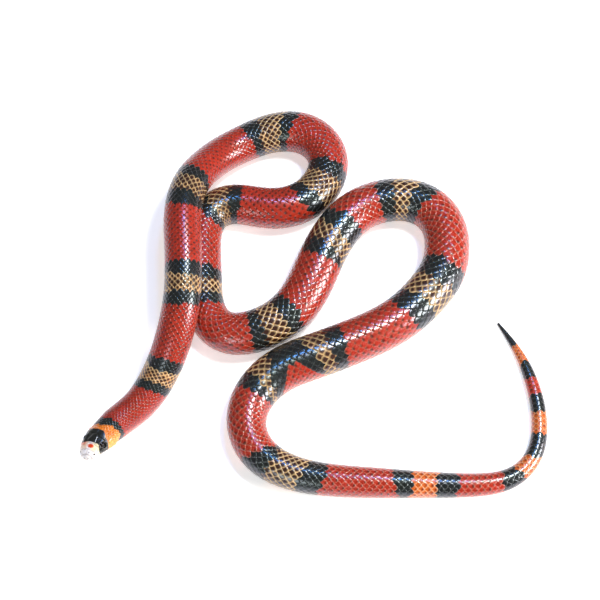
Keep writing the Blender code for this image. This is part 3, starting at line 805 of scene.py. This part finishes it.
def head_colour(at, degrees):
    """Ground colours of the head: pale snout with fine sutures and marks, orange patch, and black cap."""
    turned = np.abs(degrees)
    width, depth = degree_width(at), depth_in_plates(at, degrees)
    seam = 1 - smooth_step(-0.02, SEAM_SHADE, depth)
    paint = {name: np.array(colour) for name, colour in PAINT.items()}
    ground = np.broadcast_to(paint["snout"], at.shape + (4,))
    for name, most, along, around, side in TINTS:
        share = most * smooth_step(*along, at) * smooth_step(*around, side * degrees)
        ground = mixed(ground, paint[name], share)
    ground = mixed(ground, paint["suture"], SNOUT_SEAMS * seam * (turned < CHIN_FROM))
    patch = np.hypot((at - PATCH[0]) / PATCH_SIZE[0], (degrees - PATCH[1]) * width / PATCH_SIZE[1])
    ground = mixed(ground, paint["patch"], 1 - smooth_step(0.65, 1.25, patch))
    for mark_at, mark_degrees, reach in MARKS:
        away = np.hypot(at - mark_at, (degrees - mark_degrees) * width) / reach
        ground = mixed(ground, paint["mark"], 0.75 * (1 - smooth_step(0.4, 1.2, away)))
    # Painted shade darkens the pit of each nostril and a thin ring round it.
    hole = np.hypot(at - NOSTRIL[0], (turned - NOSTRIL[1]) * width)
    ground = mixed(ground, paint["mark"], 0.9 * (1 - smooth_step(0.5 * NOSTRIL_SHADE, NOSTRIL_SHADE, hole)))
    front, rear, nape = [table_at(table, degrees) for table in HEAD_EDGES[:3]]
    past_cap = smooth_step(rear - CAP_REAR_BLUR, rear + CAP_REAR_BLUR, at)
    cap = smooth_step(front - CAP_FRONT_BLUR, front + CAP_FRONT_BLUR, at) * (1 - past_cap)
    behind = past_cap * smooth_step(8.0, 11.0, at) * (turned < CHIN_FROM)
    ground = mixed(ground, mixed(paint["nape"], paint["golden"], smooth_step(*GOLDEN_SPAN, turned)), behind)
    ground = mixed(ground, paint["suture"], NAPE_SEAMS * seam * behind * (1 - coat_cover(at, degrees)))
    ground = mixed(ground, paint["black"], smooth_step(nape - NAPE_BLUR, nape + NAPE_BLUR, at))
    return mixed(ground, paint["black"], cap)


def skin_colour():
    ground = GROUND[ring_kind(SKIN_AT, np.radians(SKIN_DEGREES))]
    on_head = SKIN_AT < 19.0
    ground[on_head] = head_colour(SKIN_AT[on_head], SKIN_DEGREES[on_head])
    return ground


def skin_map(faces):
    """OFBake map of the skin, corner by corner, so that a face never spans two strips or the belly seam."""
    at = np.concatenate([SKIN_AT, [SNOUT_END, LENGTH + TAIL_CAP]])
    degrees = np.concatenate([SKIN_DEGREES, [0, 0]])
    size = np.array([len(f) for f in faces])
    corner = np.concatenate([np.array(f) for f in faces])
    first = np.concatenate([[0], np.cumsum(size)[:-1]])
    here, around = at[corner], degrees[corner]
    low = np.minimum.reduceat(here, first).repeat(size)
    across_seam = (np.minimum.reduceat(around, first) < -90).repeat(size)
    around = np.where(across_seam & (around > 179.9), -180, around)
    strip = np.clip(np.floor((low + 1) / STRIP_LENGTH), 0, STRIPS - 1)
    return pelt_uv(here + 1 - strip * STRIP_LENGTH, np.radians(around) * sizes(here)[0], strip)


# %% make the skin
faces = skin_faces()
points = skin_points()
ends = place(np.array([SNOUT_END, LENGTH + TAIL_CAP]), 0.0)
ends[0] = points[:RING_COUNTS[0]].mean(axis=0)
ends[1] = points[-RING_COUNTS[-1]:].mean(axis=0)
ground = np.concatenate([skin_colour(), GROUND[[KINDS.index("snout"), KINDS.index("black")]]])
skin = mesh_piece("skin", np.concatenate([points, ends]), faces, PLATE_KERATIN,
                  {"ground": ground}, {"OFBake": skin_map(faces)})
FLESH = [name for name in frame["nodes"] if not name.startswith("eye")]
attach(skin, "root")
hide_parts(*FLESH)
print("the skin stands for", len(FLESH), "solids")

# %% [markdown]
# ## The coat of scales
# A milk snake has about 21 rows of smooth, rounded diamonds round its middle. Each overlaps the next
# ones to the rear, as roof tiles do. They are laid out on the flat pelt with Geometry Nodes, where every
# second row is shifted by half a scale, and then the map wraps them round the body. The scales shrink
# towards the neck and the tail, so the flat pelt counts in scales, not in millimetres, and two short
# tables say how long a scale is and how much of the girth a row takes.

# %% lengths and rows of the scales
PITCH = [(12, 1.5), (20, 1.65), (30, 2.2), (70, 2.7), (100, 3.0), (145, 3.4), (200, 3.8), (300, 3.9),
         (400, 4.1), (500, 4.5), (600, 4.8), (680, 4.7), (760, 3.9), (850, 3.6), (920, 3.4), (960, 3.2),
         (1000, 2.6), (1040, 1.6)]
ROW_DEGREES = [(12, 9), (26, 9.5), (50, 9.8), (100, 10), (250, 10.2), (400, 10.8), (500, 11), (600, 11.8),
               (700, 12), (800, 12.8), (850, 14), (880, 17), (920, 22), (960, 29), (1000, 38), (1040, 45)]
COAT_AT = np.arange(12.0, LENGTH + 1.0, 0.25)
COAT_COUNT = np.concatenate([[0], np.cumsum(0.25 / table_at(PITCH, COAT_AT[:-1] + 0.125))])
VENT = 874.0
GULAR_END = 26.0
BELLY_EDGE = [(GULAR_END - 4, 150), (GULAR_END + 6, 122), (VENT, 122), (VENT + 40, 115)]


def count_at(at):
    return np.interp(at, COAT_AT, COAT_COUNT)


def at_count(count):
    return np.interp(count, COAT_COUNT, COAT_AT)


def ventral_edge(at):
    """Angle from the top of the back, in degrees, where the broad belly scutes begin."""
    return table_at(BELLY_EDGE, at)


print("scales in the middle row of the back:", int(COAT_COUNT[-1]))

# %% one scale
SCALE_RINGS = [(1.0, -0.62), (0.975, -0.34), (0.86, -0.09), (0.50, 0.0)]
# Shares of the pale rim from the outline inwards; the rim is partly a painted glint on the scale's edge.
RIM_AND_GLINT_SHARES = [0.7, 1.0, 0.35, 0.0]
SCALE_MIDDLE = 0.03
SCALE_OUTLINE = 14
SCALE_SHAPE = 1.6
SCALE_REAR, SCALE_FRONT, SCALE_SIDE, SCALE_SHIFT = 0.58, 0.62, 0.985, 0.05
SCALE_TILT = (0.15, 0.80)
SCALE_HIDDEN = 0.35


def outline_points(count, front, rear, side, shape):
    """Rounded diamond: distances along and across for the corners of its outline, widest at zero."""
    made = []
    for k in range(count):
        turn = 2 * math.pi * k / count
        c, s = math.cos(turn), math.sin(turn)
        reach, power = (rear, shape) if c >= 0 else (front, 2.0)
        along, across = reach * abs(c) ** (2 / power), side * abs(s) ** (2 / power)
        made.append((math.copysign(along, c), math.copysign(across, s)))
    return made


def scale_template():
    """One scale on the flat pelt: a low closed dome that tilts up to the rear, with a thin edge."""
    outline = outline_points(SCALE_OUTLINE, SCALE_FRONT, SCALE_REAR, SCALE_SIDE, SCALE_SHAPE)
    points, faces = [], []
    for reach, height in SCALE_RINGS:
        for x, y in outline:
            tilt = SCALE_TILT[0] + SCALE_TILT[1] * float(smooth_step(-SCALE_FRONT, SCALE_REAR, x * reach))
            thick = SCALE_HIDDEN + (1 - SCALE_HIDDEN) * float(smooth_step(-0.35, 0.2, x))
            points.append((x * reach + SCALE_SHIFT, y * reach, tilt + thick * height))
    middle = len(points)
    points.append((SCALE_SHIFT, 0, SCALE_TILT[0] + SCALE_TILT[1] * 0.52 + SCALE_MIDDLE))
    n = SCALE_OUTLINE
    for ring in range(len(SCALE_RINGS) - 1):
        faces += band(ring * n, (ring + 1) * n, n)
    last = (len(SCALE_RINGS) - 1) * n
    faces += [(last + k, last + (k + 1) % n, middle) for k in range(n)]
    faces.append(tuple(range(n - 1, -1, -1)))
    return points, faces


def template_object(name, points, faces, edge):
    """Hidden pattern piece, in scales and rows, with its map for the dark tip and its pale edge and painted
    glint.
    """
    data = bpy.data.meshes.new(name)
    data.from_pydata(points, [], faces)
    fill(data.attributes.new("edge", "FLOAT", "POINT"), "value", edge)
    across_along = np.array(points)[:, 1::-1]
    low, high = across_along.min(axis=0), across_along.max(axis=0)
    local = ((across_along - low) / (high - low))[corner_numbers(data)]
    fill(data.uv_layers.new(name="ScalePlace"), "uv", local)
    data.shade_smooth()
    return bpy.data.objects.new(name, data)


RIM_AND_GLINT_OF_SCALE = np.append(np.repeat(RIM_AND_GLINT_SHARES, SCALE_OUTLINE), 0.0)
SCALE = template_object("scale_pattern", *scale_template(), RIM_AND_GLINT_OF_SCALE)
print("one scale has", len(SCALE.data.polygons), "faces")

# %% Geometry Nodes that lay a pattern on every root
def laying_tree():
    """Tree with named inputs: roots, pattern, how uneven its size is, and finish. Its seed is fixed."""
    tree = bpy.data.node_groups.new("lay_scales", "GeometryNodeTree")
    for name, kind in (("Roots", "Geometry"), ("Pattern", "Object"), ("Smallest", "Float"),
                       ("Largest", "Float"), ("Finish", "Material")):
        tree.interface.new_socket(name, in_out="INPUT", socket_type="NodeSocket" + kind)
    tree.interface.new_socket("Coat", in_out="OUTPUT", socket_type="NodeSocketGeometry")
    given = add(tree, "NodeGroupInput").outputs
    pattern = add(tree, "GeometryNodeObjectInfo", {"Object": given["Pattern"]})
    size = add(tree, "FunctionNodeRandomValue", {2: given["Smallest"], 3: given["Largest"], "Seed": 7},
               data_type="FLOAT")
    laid = add(tree, "GeometryNodeInstanceOnPoints", {"Points": given["Roots"],
                                                      "Instance": pattern.outputs["Geometry"],
                                                      "Scale": size.outputs[1]})
    whole = add(tree, "GeometryNodeRealizeInstances", {"Geometry": laid.outputs["Instances"]})
    painted = add(tree, "GeometryNodeSetMaterial", {"Geometry": whole.outputs["Geometry"],
                                                    "Material": given["Finish"]})
    add(tree, "NodeGroupOutput", {"Coat": painted.outputs["Geometry"]})
    return tree


LAYING = laying_tree()


def lay_flat(name, roots, extras, pattern, finish, sizes_range=(1.0, 1.0)):
    """Lays the pattern on flat roots (scales, rows) and returns the mesh. Extras ride on the roots."""
    cloud = bpy.data.meshes.new(name)
    cloud.from_pydata([(u, v, 0) for u, v in roots], [], [])
    for key, values in extras.items():
        kind, field = ("FLOAT_COLOR", "color") if values.shape[1] == 4 else ("FLOAT_VECTOR", "vector")
        fill(cloud.attributes.new(key, kind, "POINT"), field, values)
    bed = show(bpy.data.objects.new(name, cloud))
    laying = bed.modifiers.new("lay", "NODES")
    laying.node_group = LAYING
    values = {"Pattern": pattern, "Smallest": sizes_range[0], "Largest": sizes_range[1], "Finish": finish}
    for item in LAYING.interface.items_tree:
        if item.name in values:
            laying[item.identifier] = values[item.name]
    bpy.context.view_layer.update()
    flat = bpy.data.meshes.new_from_object(bed.evaluated_get(bpy.context.evaluated_depsgraph_get()))
    bpy.data.objects.remove(bed)
    return flat


# %% [markdown]
# Wrapping moves every point from the flat pelt to its place on the body. The pelt's own coordinates are
# a count of scales, an angle in rows and a height in coat depths. The map gives the place in space, and
# its direction turns the mesh inside out, so the faces are flipped once at the end. The baked colours of
# a scale come from a small square of the pelt map round the scale's root.

# %% wrap a flat coat round the body
BAKE_SQUARE = (0.006, 0.006)
THINNEST_COAT = 0.09


def wrap(name, flat, to_degrees, bake=BAKE_SQUARE):
    """Wraps a flat mesh. to_degrees gives the angle from the top of the back for (distance, flat y)."""
    count = len(flat.vertices)
    spot = np.zeros(count * 3, np.float32)
    flat.vertices.foreach_get("co", spot)
    spot = spot.reshape(-1, 3).astype(float)
    at = at_count(spot[:, 0])
    at += np.maximum(spot[:, 0] - COAT_COUNT[-1], 0) * PITCH[-1][1]
    degrees = to_degrees(at, spot[:, 1])
    depth = np.maximum(COAT_SHARE * sizes(np.minimum(at, LENGTH))[0], THINNEST_COAT)
    skin_lift = -coat_depth(at, degrees)
    solid = place(at, np.radians(degrees), skin_lift + depth * spot[:, 2])
    flat.vertices.foreach_set("co", (solid * MM).ravel())
    root = np.zeros(count * 3, np.float32)
    flat.attributes["root"].data.foreach_get("vector", root)
    root = root.reshape(-1, 3)[corner_numbers(flat)]
    along, across, strip = pelt_place(root[:, 0].astype(float), np.radians(root[:, 1]))
    local = np.zeros(len(flat.loops) * 2, np.float32)
    flat.uv_layers["ScalePlace"].data.foreach_get("uv", local)
    patch = pelt_uv(along, across, strip) + (local.reshape(-1, 2)[:, ::-1] - 0.5) * np.array(bake)
    fill(flat.uv_layers.new(name="OFBake"), "uv", patch)
    flat.attributes.remove(flat.attributes["root"])
    flat.flip_normals()
    flat.update()
    made = show(bpy.data.objects.new(name, flat))
    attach(made, "root")
    triangles = sum(len(p.vertices) - 2 for p in flat.polygons)
    print(f"{name}: {triangles} triangles")
    return made


# %% roots of the scales on the back and flanks
PIECES = 4
UNEVEN = (0.97, 1.02)
TIP_PAINT, RIM_AND_GLINT_PAINT = colour_table(TIPS), colour_table(RIMS_AND_GLINTS)
RIM_AND_GLINT_STRENGTH = {"red": (0.10, 0.42), "black": (0.2, 0.42), "cream": (0.75, 0.8), "orange": (0.6, 0.7),
                "nape": (0.4, 0.4), "snout": (0.3, 0.3)}
RIM_AND_GLINT_SPAN = (250, 650)
FLANK_SHEEN_SHARE, FLANK_SHEEN_SPAN = 0.4, (70, 105)
EDGE_SHARE, EDGE_SPOT, NEIGHBOUR = 0.35, 0.85, 0.9
LAST_ROW, THROAT_END_DEGREES = 20, 178
SPOTS = colour_table(TIP_SPOT)
SPOT_GROWTH, SPOT_SPAN = 0.14, (70, 180)
SHADE_SPREAD = 0.10
SHOWN_MIDDLE = 0.2


def row_degrees(at):
    return table_at(ROW_DEGREES, at)


def coat_roots():
    """Roots of the scales as (count, row), every second row shifted by half a scale."""
    made = []
    for row in range(-LAST_ROW, LAST_ROW + 1):
        counts = np.arange(int(COAT_COUNT[-1]) + 2) + (0.5 if row % 2 else 0.0)
        at = at_count(counts)
        degrees = np.abs(row) * row_degrees(at)
        start = table_at(COAT_START, degrees)
        limit = np.where(at < GULAR_END, THROAT_END_DEGREES, ventral_edge(at) + 0.5 * row_degrees(at))
        keep = (at > start) & (degrees < limit) & (counts < COAT_COUNT[-1] + 0.4) & (at < LENGTH - 0.5)
        made += [(c, row) for c in counts[keep]]
    return np.array(made)


roots = coat_roots()
root_at = at_count(roots[:, 0])
root_degrees = roots[:, 1] * row_degrees(root_at)
shown_at = root_at + SHOWN_MIDDLE * table_at(PITCH, root_at)
kinds = ring_kind(shown_at, np.radians(root_degrees))
chance = np.random.default_rng(11)
shade = 1 + SHADE_SPREAD * chance.uniform(-1, 1, len(roots))[:, None]
ground = GROUND[kinds]
golden = smooth_step(*GOLDEN_SPAN, np.abs(root_degrees)) * (kinds == KINDS.index("nape"))
ground = mixed(ground, np.array(PAINT["golden"]), golden)
# Painted sheen: red scales on both flanks are mixed towards a paler, pinker red, where grazing light shines.
flank = FLANK_SHEEN_SHARE * smooth_step(*FLANK_SHEEN_SPAN, np.abs(root_degrees)) * (kinds == KINDS.index("red"))
ground = mixed(ground, np.array(PAINT["flank"]), flank)
ground[:, :3] *= shade
spot = SPOTS[kinds]
spot[:, 0] *= 1 + 0.2 * chance.uniform(-1, 1, len(roots))
spot[:, 0] += SPOT_GROWTH * smooth_step(*SPOT_SPAN, root_at) * (kinds == KINDS.index("cream"))
# Pale rims, partly the scales' own paler edges and partly painted glints, grow stronger towards the tail.
rim = RIM_AND_GLINT_PAINT[kinds]
weak, strong = colour_table(RIM_AND_GLINT_STRENGTH)[kinds].T
rim[:, 3] = weak + (strong - weak) * smooth_step(*RIM_AND_GLINT_SPAN, root_at)
pitch = table_at(PITCH, root_at)
outer = np.zeros(len(roots), bool)
for step in (-NEIGHBOUR, NEIGHBOUR):
    outer |= ring_kind(shown_at + step * pitch, np.radians(root_degrees)) != kinds
outer &= kinds == KINDS.index("cream")
ground[outer, :3] = (1 - EDGE_SHARE) * ground[outer, :3] + EDGE_SHARE * rim[outer, :3]
spot[outer, 0] *= EDGE_SPOT
where = np.stack([root_at, root_degrees, np.zeros(len(roots))], axis=1)
for piece, chosen in enumerate(np.array_split(np.argsort(root_at, kind="stable"), PIECES)):
    extras = {"ground": ground, "tip": TIP_PAINT[kinds], "rim": rim, "spot": spot, "root": where}
    flat = lay_flat("coat", roots[chosen], {key: rows[chosen] for key, rows in extras.items()}, SCALE,
                    SCALE_KERATIN, UNEVEN)
    wrap(f"coat_{piece + 1}", flat, lambda at, rows: rows * row_degrees(at))
print("scales on the back and flanks:", len(roots))

# %% [markdown]
# ## The belly
# One broad scute crosses the belly for each scale of the back's middle row. Its rear edge overlaps the
# next scute and is what grips the ground. Behind the vent the scutes come in pairs.

# %% broad scutes of the belly
SCUTE_ACROSS, SCUTE_ALONG = 10, 3
SCUTE_FRONT, SCUTE_BACK = -0.28, 0.80
SCUTE_THICK = 0.30
NO_SPOT = (0.0, 2.0, 0.1)


def scute_template(left, right):
    """One scute between two shares of the belly's width: a plate that tilts up to the rear."""
    points, faces = [], []
    across = np.linspace(left, right, SCUTE_ACROSS + 1)
    for low in (True, False):
        for x in np.linspace(SCUTE_FRONT, SCUTE_BACK, SCUTE_ALONG + 1):
            tilt = float(smooth_step(SCUTE_FRONT, SCUTE_BACK, x))
            for y in across:
                rounded = 0.18 * abs(y) ** 3 * (x - SCUTE_FRONT)
                points.append((x - rounded, y, 0.05 + 0.90 * tilt - SCUTE_THICK * low))
    wide = SCUTE_ACROSS + 1
    top = wide * (SCUTE_ALONG + 1)
    for i in range(SCUTE_ALONG):
        for j in range(SCUTE_ACROSS):
            a, b = i * wide + j, (i + 1) * wide + j
            faces += [(top + a, top + b, top + b + 1, top + a + 1), (a, a + 1, b + 1, b)]
    for j in range(SCUTE_ACROSS):
        rear = SCUTE_ALONG * wide
        faces += [(j, top + j, top + j + 1, j + 1),
                  (rear + j, rear + j + 1, top + rear + j + 1, top + rear + j)]
    for i in range(SCUTE_ALONG):
        a, b = i * wide, (i + 1) * wide
        c, d = a + wide - 1, b + wide - 1
        faces += [(a, b, top + b, top + a), (c, top + c, top + d, d)]
    return points, faces


def scute_degrees(at, share):
    """Angle of a share of the belly's width: 0 is its middle line and 1 its left edge."""
    return 180 - share * (180 - ventral_edge(at))


def lay_scutes(name, counts, left, right, square):
    """A run of scutes, painted as the rings that reach the belly."""
    at = at_count(counts)
    kinds = ring_kind(at, np.radians(np.full(len(at), 150.0)))
    middle = scute_degrees(at, (left + right) / 2)
    extras = {"ground": GROUND[kinds], "tip": TIP_PAINT[kinds], "spot": np.tile(NO_SPOT, (len(at), 1)),
              "root": np.stack([at, middle, np.zeros(len(at))], axis=1)}
    points, faces = scute_template(left, right)
    pattern = template_object("scute_pattern", points, faces, np.zeros(len(points)))
    flat = lay_flat(name, [(c, 0) for c in counts], extras, pattern, SCALE_KERATIN)
    return wrap(name, flat, scute_degrees, square)


belly = np.arange(math.ceil(count_at(GULAR_END)), count_at(VENT))
under_tail = np.arange(belly[-1] + 1, count_at(LENGTH - 2.5))
lay_scutes("belly_scutes", belly, -1.0, 1.0, (0.006, 0.06))
lay_scutes("left_tail_scutes", under_tail, 0.02, 1.0, (0.006, 0.02))
lay_scutes("right_tail_scutes", under_tail + 0.5, -1.0, -0.02, (0.006, 0.02))

# %% [markdown]
# ## The eyes
# A snake has no eyelids. A clear scale covers a round eye, so it shines like a drop of water. The iris
# of a milk snake is a dark reddish brown, and its pupil is round. The ball's rings run round the eye's
# axis, so colours by ring make a clean pupil.

# %% eyes
EYE_RINGS, EYE_SIDES = 28, 40
PUPIL, IRIS = 0.60, 0.84
EYE_PAINT = {"pupil": linear("050505"), "iris": linear("190C09"), "edge": linear("080506")}


def cornea():
    """Clear scale over the eye: one smooth, wet-looking surface over the colour."""
    made, tree, shader = new_material("clear_eye_scale", {"Roughness": 0.04, "IOR": 1.38})
    paint = add(tree, "ShaderNodeAttribute", attribute_name="ground")
    tree.links.new(paint.outputs["Color"], shader.inputs["Base Color"])
    return made


def make_eye(name, side, finish):
    centre = eye_centre(side)
    outward = side * read_line(LEFT, np.array([EYE_AT]))[0]
    up = read_line(UP, np.array([EYE_AT]))[0]
    ahead = np.cross(up, outward)
    points, colours = [centre + EYE_RADIUS * outward], [EYE_PAINT["pupil"]]
    for ring in range(1, EYE_RINGS):
        polar = math.pi * ring / EYE_RINGS
        share = math.sin(min(polar, math.pi / 2))
        name_here = "pupil" if share < PUPIL else "iris" if share < IRIS else "edge"
        for k in range(EYE_SIDES):
            turn = 2 * math.pi * k / EYE_SIDES
            rim = math.sin(polar) * (math.cos(turn) * up + math.sin(turn) * ahead)
            points.append(centre + EYE_RADIUS * (math.cos(polar) * outward + rim))
            colours.append(EYE_PAINT[name_here])
    points.append(centre - EYE_RADIUS * outward)
    colours.append(EYE_PAINT["edge"])
    n, last = EYE_SIDES, len(points) - 1
    faces = [(0, 1 + (k + 1) % n, 1 + k) for k in range(n)]
    for ring in range(EYE_RINGS - 2):
        faces += band(1 + ring * n, 1 + (ring + 1) * n, n)
    faces += [(last, last - n + k, last - n + (k + 1) % n) for k in range(n)]
    made = mesh_piece(name, points, faces, finish, {"ground": colours})
    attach(made, "root")
    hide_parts(name)
    return made


CLEAR_SCALE = cornea()
for name, side in (("eye_left", 1), ("eye_right", -1)):
    make_eye(name, side, CLEAR_SCALE)

# %% [markdown]
# ## Floor, light and camera
# The animal lies on a white board under soft studio light. A soft box overhead makes the row of glints
# along the back, and a small blue lamp behind it gives the blue sheen. A broad window on the right and a
# weak card in front fill the shade. The camera looks down steeply from a short distance.

# %% floor
FLOOR_HALF = 3000.0
BOARD_GLOW = 0.52
corners = [(-FLOOR_HALF, -FLOOR_HALF, 0), (FLOOR_HALF, -FLOOR_HALF, 0), (FLOOR_HALF, FLOOR_HALF, 0),
           (-FLOOR_HALF, FLOOR_HALF, 0)]
# Matt painted card scatters light evenly. A little glow of its own keeps it as white as in the photo.
board, _, _ = new_material("white_card", {
    "Base Color": linear("FBFBFA"), "Roughness": 0.9,
    "Emission Color": linear("FFFFFF"), "Emission Strength": BOARD_GLOW})
floor = mesh_piece("floor", corners, [(0, 1, 2, 3)], board)

# %% lights
TARGET = Vector((-8.8, 0.84, 0)) * MM
ROOM_LIGHT = 0.20


def lamp(name, place_mm, size_mm, watts, tint):
    """Area lamp at a place round the middle of the snake, turned to it."""
    data = bpy.data.lights.new(name, "AREA")
    data.shape = "DISK"
    data.size = size_mm * MM
    data.energy = watts
    data.color = linear(tint)[:3]
    made = show(bpy.data.objects.new(name, data))
    made.location = TARGET + Vector(place_mm) * MM
    made.rotation_euler = (TARGET - made.location).to_track_quat("-Z", "Y").to_euler()


LAMPS = [("soft_box", (360, 190, 1000), 200, 7.0, "FFFFFF"),
         ("sky_light", (120, 340, 1000), 120, 2.4, "5FA6FF"),
         ("window_right", (900, -250, 420), 450, 12.5, "FFFAF4"),
         ("front_card", (-300, -750, 450), 350, 1.8, "FFFFFF")]
for row in LAMPS:
    lamp(*row)
print("lamps:", len(LAMPS))
world = bpy.data.worlds.new("studio")
world.use_nodes = True
world.node_tree.nodes["Background"].inputs["Color"].default_value = linear("FFFFFF")
world.node_tree.nodes["Background"].inputs["Strength"].default_value = ROOM_LIGHT
bpy.context.scene.world = world
bpy.context.scene.view_settings.view_transform = "Standard"

# %% camera
CAMERA_DISTANCE = 800.0
CAMERA_RISE = math.radians(68)
PIXEL_MM = 0.55
PHOTO_WIDTH = 600
SENSOR = 36.0
camera_data = bpy.data.cameras.new("camera")
camera_data.sensor_width = SENSOR
camera_data.lens = SENSOR * CAMERA_DISTANCE / (PIXEL_MM * PHOTO_WIDTH)
camera_data.clip_start = 0.01
camera = show(bpy.data.objects.new("camera", camera_data))
camera.location = TARGET + Vector((0, -math.cos(CAMERA_RISE), math.sin(CAMERA_RISE))) * CAMERA_DISTANCE * MM
camera.rotation_euler = (TARGET - camera.location).to_track_quat("-Z", "Y").to_euler()
bpy.context.scene.camera = camera
print("lens in mm:", round(camera_data.lens, 1))
